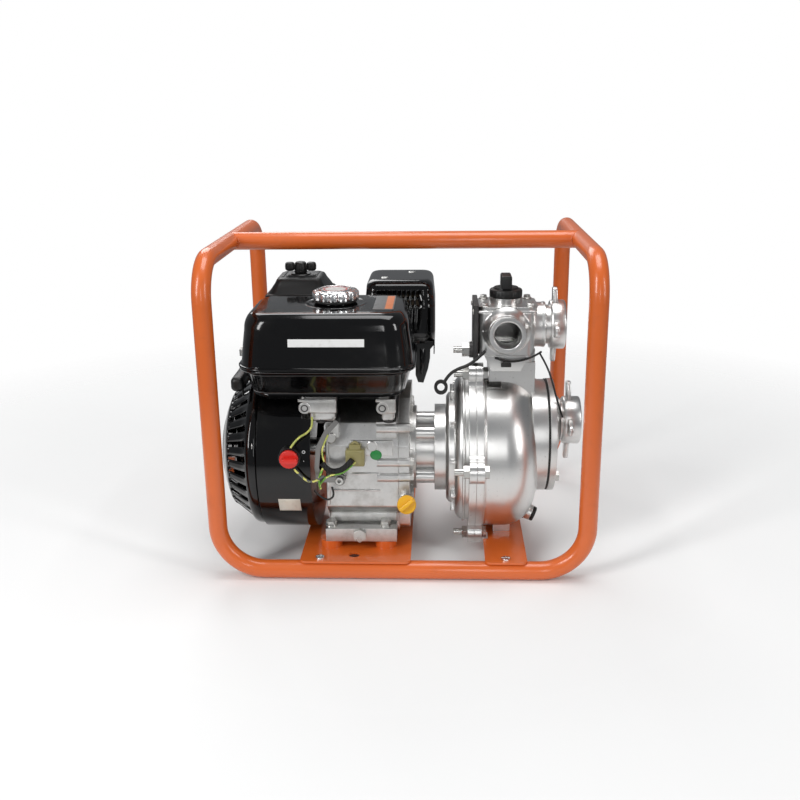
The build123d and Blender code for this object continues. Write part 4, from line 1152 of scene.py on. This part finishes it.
class PUMP_OT_discharge(bpy.types.Operator):
    """Discharge chamber with flared outlet, thread grooves, top flange screws and the priming cap"""
    bl_idname = "pump.discharge"
    bl_label = "Discharge chamber"

    def execute(self, context):
        tower = casting("discharge_chamber")
        outlet = (141.5, 0, 326.0)
        flare = turned([(33, 0), (30.5, 2.5), (28.6, 6), (27.2, 11), (25.4, 17), (23.0, 18), (23.0, 0),
                        (33, 0)],
                       (outlet[0], -111, outlet[2]), (0, -1, 0), 64)
        lip = turned([(23.0, 0), (24.8, 0.6), (25.2, 1.6), (25.2, 7.3), (24.4, 8.6), (19.4, 8.6),
                      (18.3, 7.4),
                      (18.3, 0), (23.0, 0)], (outlet[0], -129.8, outlet[2]), (0, -1, 0), 64)
        grooves = []
        for i in range(5):
            grooves.append(turned([(18.4, 0), (17.4, 1.1), (18.4, 2.2), (18.4, 0)],
                                  (outlet[0], -121 - 2.4 * i, outlet[2]), (0, -1, 0), 48))
        neck = turned([(32.5, 0), (31, 3), (30.4, 12), (31.6, 14), (31.6, 17), (30, 18)],
                      (178, SHAFT[1], 326), (1, 0, 0), 64)
        line = join(block((109, 115), (-112.7, -111), (325.2, 326.8), 0.3),
                    block((168, 173), (-112.7, -111), (325.2, 326.8), 0.3))
        gusset = plate([(-28, 0), (-20, 22), (20, 22), (30, 0)], 1.6, 0.6)
        reshape(gusset, lambda c: (142 + c.x, -112 - c.z * 0.6, 292 + c.y))
        flange = block((103.5, 180.5), (-107, -33), (349, 352.5), 1.4)
        for ring in (flare, lip, neck):
            bmesh.ops.recalc_face_normals(ring, faces=ring.faces)
        finished("discharge_casting", join(tower, flare, lip, neck, line, gusset, flange, *grooves),
                 bright_cast(),
                 replaces=["discharge_chamber"])

        screws = bmesh.new()
        for sx in (112.5, 173.5):
            for sy in (-98.5, -41.5):
                join(screws, hexagon_head((sx, sy, 357), (0, 0, 1), 9, 5, 6.4))
        for sy, sz in ((-100, 292), (-40, 292), (-100, 350), (-40, 350)):
            join(screws, turned([(0, 1.8), (2.6, 1.8), (3.6, 1.0), (3.8, 0)], (97.1, sy, sz), (-1, 0, 0),
                                20))
        finished("discharge_screws", screws, plated_steel())

        x, y, z = span("priming_cap")
        at = (middle(x), middle(y), 0)
        base = 365.4
        cap = turned([(0, base), (21.6, base), (22.5, base + 0.8), (22.5, base + 9), (21.4, base + 10.4),
                      (17.5, base + 11.4), (16.5, base + 13.2), (0, base + 13.4)], at, steps=96)
        for vert in cap.verts:
            reach = sqrt((vert.co.x - at[0]) ** 2 + (vert.co.y - at[1]) ** 2)
            if reach > 22.3:
                grip = 1 - 0.012 * (1 + cos(24 * atan2(vert.co.y - at[1], vert.co.x - at[0])))
                vert.co.x = at[0] + (vert.co.x - at[0]) * grip
                vert.co.y = at[1] + (vert.co.y - at[1]) * grip
        wing = block((at[0] - 7.2, at[0] + 7.2), (y[0] + 3.5, y[1] - 3.5), (base + 12, z[1] - 0.3), 2.4, 4)
        for vert in wing.verts:
            if vert.co.z > z[1] - 6:
                vert.co.y = at[1] + (vert.co.y - at[1]) * 0.86
        finished("priming_plug", join(cap, wing), moulded_black(), "priming_cap",
                 ["priming_cap"],
                 angle=40)

        axis = Vector((0.9165, -0.1498, -0.3709))
        turn = radians(68)
        seat = Vector((176.5, SHAFT[1] - 92 * cos(turn), SHAFT[2] - 92 * sin(turn))) + axis * 6.4
        plug = turned([(6.9, -8), (6.9, 0), (10, 0), (10.5, 0.6), (10.5, 4.2), (9.6, 5.0), (0, 5.2)],
                      tuple(seat),
                      tuple(axis), 32)
        ear = plate([(-4.5, 4.6), (-12.4, 9), (-13, 14), (-9.5, 17.6), (-4, 16), (0, 13.5), (4, 16),
                     (9.5, 17.6),
                     (13, 14), (12.4, 9), (4.5, 4.6)], 8.6, 1.6)
        reshape(ear, lambda c: (c.x, c.z - 4.3, c.y))
        put(ear, tuple(seat), tuple(axis), extrusion_turn("drain_plug", axis))
        finished("drain_wing_plug", join(plug, ear), moulded_black(), "drain_plug",
                 ["drain_plug"])
        return {"FINISHED"}


class PUMP_OT_ring_nuts(bpy.types.Operator):
    """Swivel ring nuts with tapered driving ears and a gripped collar"""
    bl_idname = "pump.ring_nuts"
    bl_label = "Ring nuts"

    def execute(self, context):
        bore = 29.9
        ear_share = 0.42
        for node, name in (("suction_ring_nut", "suction_swivel_nut"),
                           ("discharge_ring_nut", "discharge_swivel_nut")):
            x, y, z = span(node)
            centre = (middle(y), middle(z))
            reach = (z[1] - z[0]) / 2
            depth = x[1] - x[0]
            profile = [(27.1, 0), (32.2, 0), (33.4, 1.2), (33.9, 3), (33.9, depth - 2), (33.2, depth - 0.6),
                       (32.4, depth), (30.6, depth), (bore, depth - 0.8)]
            for i in range(5):
                profile += [(bore, depth - 2.2 - 1.7 * i), (bore + 0.7, depth - 3.0 - 1.7 * i)]
            profile += [(bore + 0.7, 6.0), (27.1, 5.6), (27.1, 0)]
            nut = turned(profile, (x[0], *centre), (1, 0, 0), 72)
            for i in range(4):
                ear = plate([(-11.5, 31), (-9.2, 40), (-7.6, reach - 4.5), (-5.2, reach - 1.2),
                             (0, reach - 0.1),
                             (5.2, reach - 1.2), (7.6, reach - 4.5), (9.2, 40), (11.5, 31)], 6.4, 1.5)
                for vert in ear.verts:
                    lean = (vert.co.y - 31) * 0.03
                    vert.co = Vector((vert.co.z - 3.2 + x[0] + ear_share * depth + lean, vert.co.x,
                                      vert.co.y))
                bmesh.ops.recalc_face_normals(ear, faces=ear.faces)
                join(nut, shift(roll(ear, i * pi / 2), (0, *centre)))
            finished(name, nut, bright_cast(), node, [node], angle=36)
        return {"FINISHED"}


class PUMP_OT_wiring(bpy.types.Operator):
    """Sleeved loom, switch wires, earth wire and the cap straps"""
    bl_idname = "pump.wiring"
    bl_label = "Wiring and straps"

    def execute(self, context):
        lime = striped_wire("lime", 0.42, 0.46, 0.10)
        green = striped_wire("green", 0.13, 0.34, 0.04)
        cord("loom_sleeve", [(-66, -174.6, 164), (-76, -175, 152), (-88, -175.4, 147), (-100, -175, 149),
                             (-107, -174.6, 159)], 4.0, corrugated_sleeve(), ["wiring"])
        wires = (      # name, radius, finish, slot, route
            ("wire_earth", 1.4, rubber(), "rubber",
             [(-119, -176, 120), (-110, -175, 109), (-99, -175, 105), (-91, -174, 113), (-95, -173, 124)]),
            ("wire_switch_upper", 1.4, lime, "wire",
             [(-146, -191, 187), (-138, -187, 199), (-124, -176, 203), (-118, -171, 212),
              (-119, -168.6, 223)]),
            ("wire_switch_lower", 1.4, striped_wire("grey", 0.10, 0.11, 0.11), "wire",
             [(-142, -193, 157), (-134, -190, 146), (-124, -188.5, 137), (-114, -182, 136),
              (-105, -175, 141)]),
            ("wire_alert", 1.3, green, "wire",
             [(-62, -172.5, 160), (-72, -176.0, 150), (-84, -177.5, 144), (-96, -177, 143),
              (-106, -176, 136),
              (-112, -174.8, 126)]),
            ("wire_loom_tail", 1.5, green, "wire",
             [(-104, -176, 156), (-109, -176.2, 146), (-113, -176, 134), (-110, -175.4, 122)]),
            ("wire_coil", 1.2, lime, "wire",
             [(-104, -173, 160), (-108, -172, 172), (-104, -171.6, 186), (-98, -170, 198)]),
        )
        for name, radius, material, slot, route in wires:
            cord(name, route, radius, material)
        ring = turned([(5.2, 0.9), (5.2, -0.9), (2.6, -0.9), (2.6, 0.9), (5.2, 0.9)],
                      (-84.5, -173.6, 132.6), (0, -1, 0), 28)
        finished("earth_terminal", ring, plated_steel())

        strap = [(57, -127, 258), (63, -126, 269), (76, -124, 277), (90, -122, 281), (104, -118, 291),
                 (113, -117, 300)]
        cord("strap_eyelet_lead", strap, 2.2, rubber(), ["cap_straps"])
        tether = [(126, -116, 290), (138, -118, 286), (152, -118, 285), (168, -117, 288), (183, -108, 292),
                  (190, -96, 293)]
        cord("strap_tether", tether, 1.5, rubber())
        drop = [(188, -100, 292), (198, -110, 276), (205, -119, 254), (211, -123, 232), (220, -118, 206)]
        cord("strap_drop", drop, 1.3, rubber())
        eyelet = turned([(10.4, -1.6), (10.4, 1.6), (9.4, 2.4), (6.6, 2.4), (5.6, 1.6), (5.6, -1.6),
                         (6.6, -2.4),
                         (9.4, -2.4), (10.4, -1.6)], (53, -127, 252), (0, -1, 0), 36)
        bmesh.ops.scale(eyelet, vec=(0.9, 1, 1), space=Matrix.Translation((-53, 127, -252)),
                        verts=eyelet.verts)
        join(eyelet, block((134, 148), (-121.4, -119), (278, 284), 1.0))
        finished("strap_eyelet", eyelet, rubber())
        return {"FINISHED"}


class PUMP_OT_stage(bpy.types.Operator):
    """Lay a pale floor with soft studio light and set the camera"""
    bl_idname = "pump.stage"
    bl_label = "Studio stage"

    def execute(self, context):
        s = context.scene.pump_stage
        bm = bmesh.new()
        bmesh.ops.create_circle(bm, cap_ends=True, segments=96, radius=1.6)
        mesh = bpy.data.meshes.new("studio_floor")
        bm.to_mesh(mesh)
        bm.free()
        floor = link_new("studio_floor", mesh)
        f = Finish("studio_floor", roughness=0.65, specular_ior_level=0.2)
        tone = f.noise(3.0, 3.0)
        darker = [channel * 0.985 for channel in s.floor_colour]
        f.feed("Base Color", f.blend(tone, (*s.floor_colour, 1), (*darker, 1)))
        reach = f.node("ShaderNodeVectorMath", {"operation": "LENGTH"}, [f.place], "Value")
        f.feed("Alpha", 1 - f.mask(reach, 0.50, 1.30))
        floor.data.materials.append(f.material)

        world = bpy.data.worlds.new("soft_room")
        world.use_nodes = True
        context.scene.world = world
        nodes, links = world.node_tree.nodes, world.node_tree.links
        room = nodes["Background"]
        room.inputs["Color"].default_value = (0.93, 0.96, 1.0, 1)
        room.inputs["Strength"].default_value = s.room_light
        paper = nodes.new("ShaderNodeBackground")
        paper.inputs["Color"].default_value = (1, 1, 1, 1)
        seen = nodes.new("ShaderNodeLightPath")
        choice = nodes.new("ShaderNodeMixShader")
        links.new(seen.outputs["Is Camera Ray"], choice.inputs["Fac"])
        links.new(room.outputs["Background"], choice.inputs[1])
        links.new(paper.outputs["Background"], choice.inputs[2])
        links.new(choice.outputs["Shader"], nodes["World Output"].inputs["Surface"])

        lamps = (      # name, position, width, height, watts
            ("key_softbox", (-1.6, -1.7, 1.5), 0.5, 1.7, 36.0),
            ("fill_softbox", (2.1, -1.5, 1.2), 0.35, 1.5, 17.0),
            ("top_softbox", (0.2, 0.0, 2.5), 1.4, 1.4, 32.0),
            ("rear_softbox", (-0.8, 2.3, 1.9), 1.4, 1.4, 20.0),
            ("front_strip", (0.2, -2.7, 1.0), 0.25, 1.2, 6.0),
        )
        for name, at, width, height, power in lamps:
            data = bpy.data.lights.new(name, "AREA")
            data.shape = "RECTANGLE"
            data.size = width
            data.size_y = height
            data.energy = power
            aim = Vector((0, 0, 0.22)) - Vector(at)
            link_new(name, data).matrix_world = (
                Matrix.Translation(at) @ aim.to_track_quat("-Z", "Y").to_matrix().to_4x4())

        data = bpy.data.cameras.new("catalogue_camera")
        data.lens = s.camera_lens
        data.sensor_width = 36.0
        camera = link_new("catalogue_camera", data)
        turn = (Matrix.Rotation(s.camera_yaw, 4, "Z") @ Matrix.Rotation(pi / 2 - s.camera_pitch, 4, "X")
                @ Matrix.Rotation(s.camera_roll, 4, "Z"))
        camera.matrix_world = Matrix.Translation(s.camera_at) @ turn
        context.scene.camera = camera
        context.scene.view_settings.view_transform = "Standard"
        return {"FINISHED"}


class PUMP_PT_panel(bpy.types.Panel):
    """Every operator of the dressing, in order"""
    bl_label = "Fire pump"
    bl_idname = "PUMP_PT_panel"
    bl_space_type = "VIEW_3D"
    bl_region_type = "UI"
    bl_category = "Pump"

    def draw(self, context):
        for operator in OPERATORS:
            self.layout.operator(operator.bl_idname)


SETTINGS = {
    "pump_paint": PumpPaint,
    "pump_tank": PumpTank,
    "pump_guard": PumpGuard,
    "pump_starter": PumpStarter,
    "pump_stage": PumpStage,
}
OPERATORS = [
    PUMP_OT_stage,
    PUMP_OT_finishes,
    PUMP_OT_frame_welds,
    PUMP_OT_fuel_tank,
    PUMP_OT_fuel_cap,
    PUMP_OT_air_cleaner,
    PUMP_OT_muffler_guard,
    PUMP_OT_starter_cover,
    PUMP_OT_engine_castings,
    PUMP_OT_tank_brackets,
    PUMP_OT_controls,
    PUMP_OT_labels,
    PUMP_OT_pump_castings,
    PUMP_OT_discharge,
    PUMP_OT_ring_nuts,
    PUMP_OT_wiring,
]
CLASSES = [*SETTINGS.values(), *OPERATORS, PUMP_PT_panel]


def register():
    for cls in CLASSES:
        bpy.utils.register_class(cls)
    for name, group in SETTINGS.items():
        setattr(bpy.types.Scene, name, bpy.props.PointerProperty(type=group))


def unregister():
    for name in SETTINGS:
        delattr(bpy.types.Scene, name)
    for cls in reversed(CLASSES):
        bpy.utils.unregister_class(cls)


def main():
    register()
    for operator in OPERATORS:
        group, name = operator.bl_idname.split(".")
        getattr(getattr(bpy.ops, group), name)()


if __name__ == "__main__":
    main()
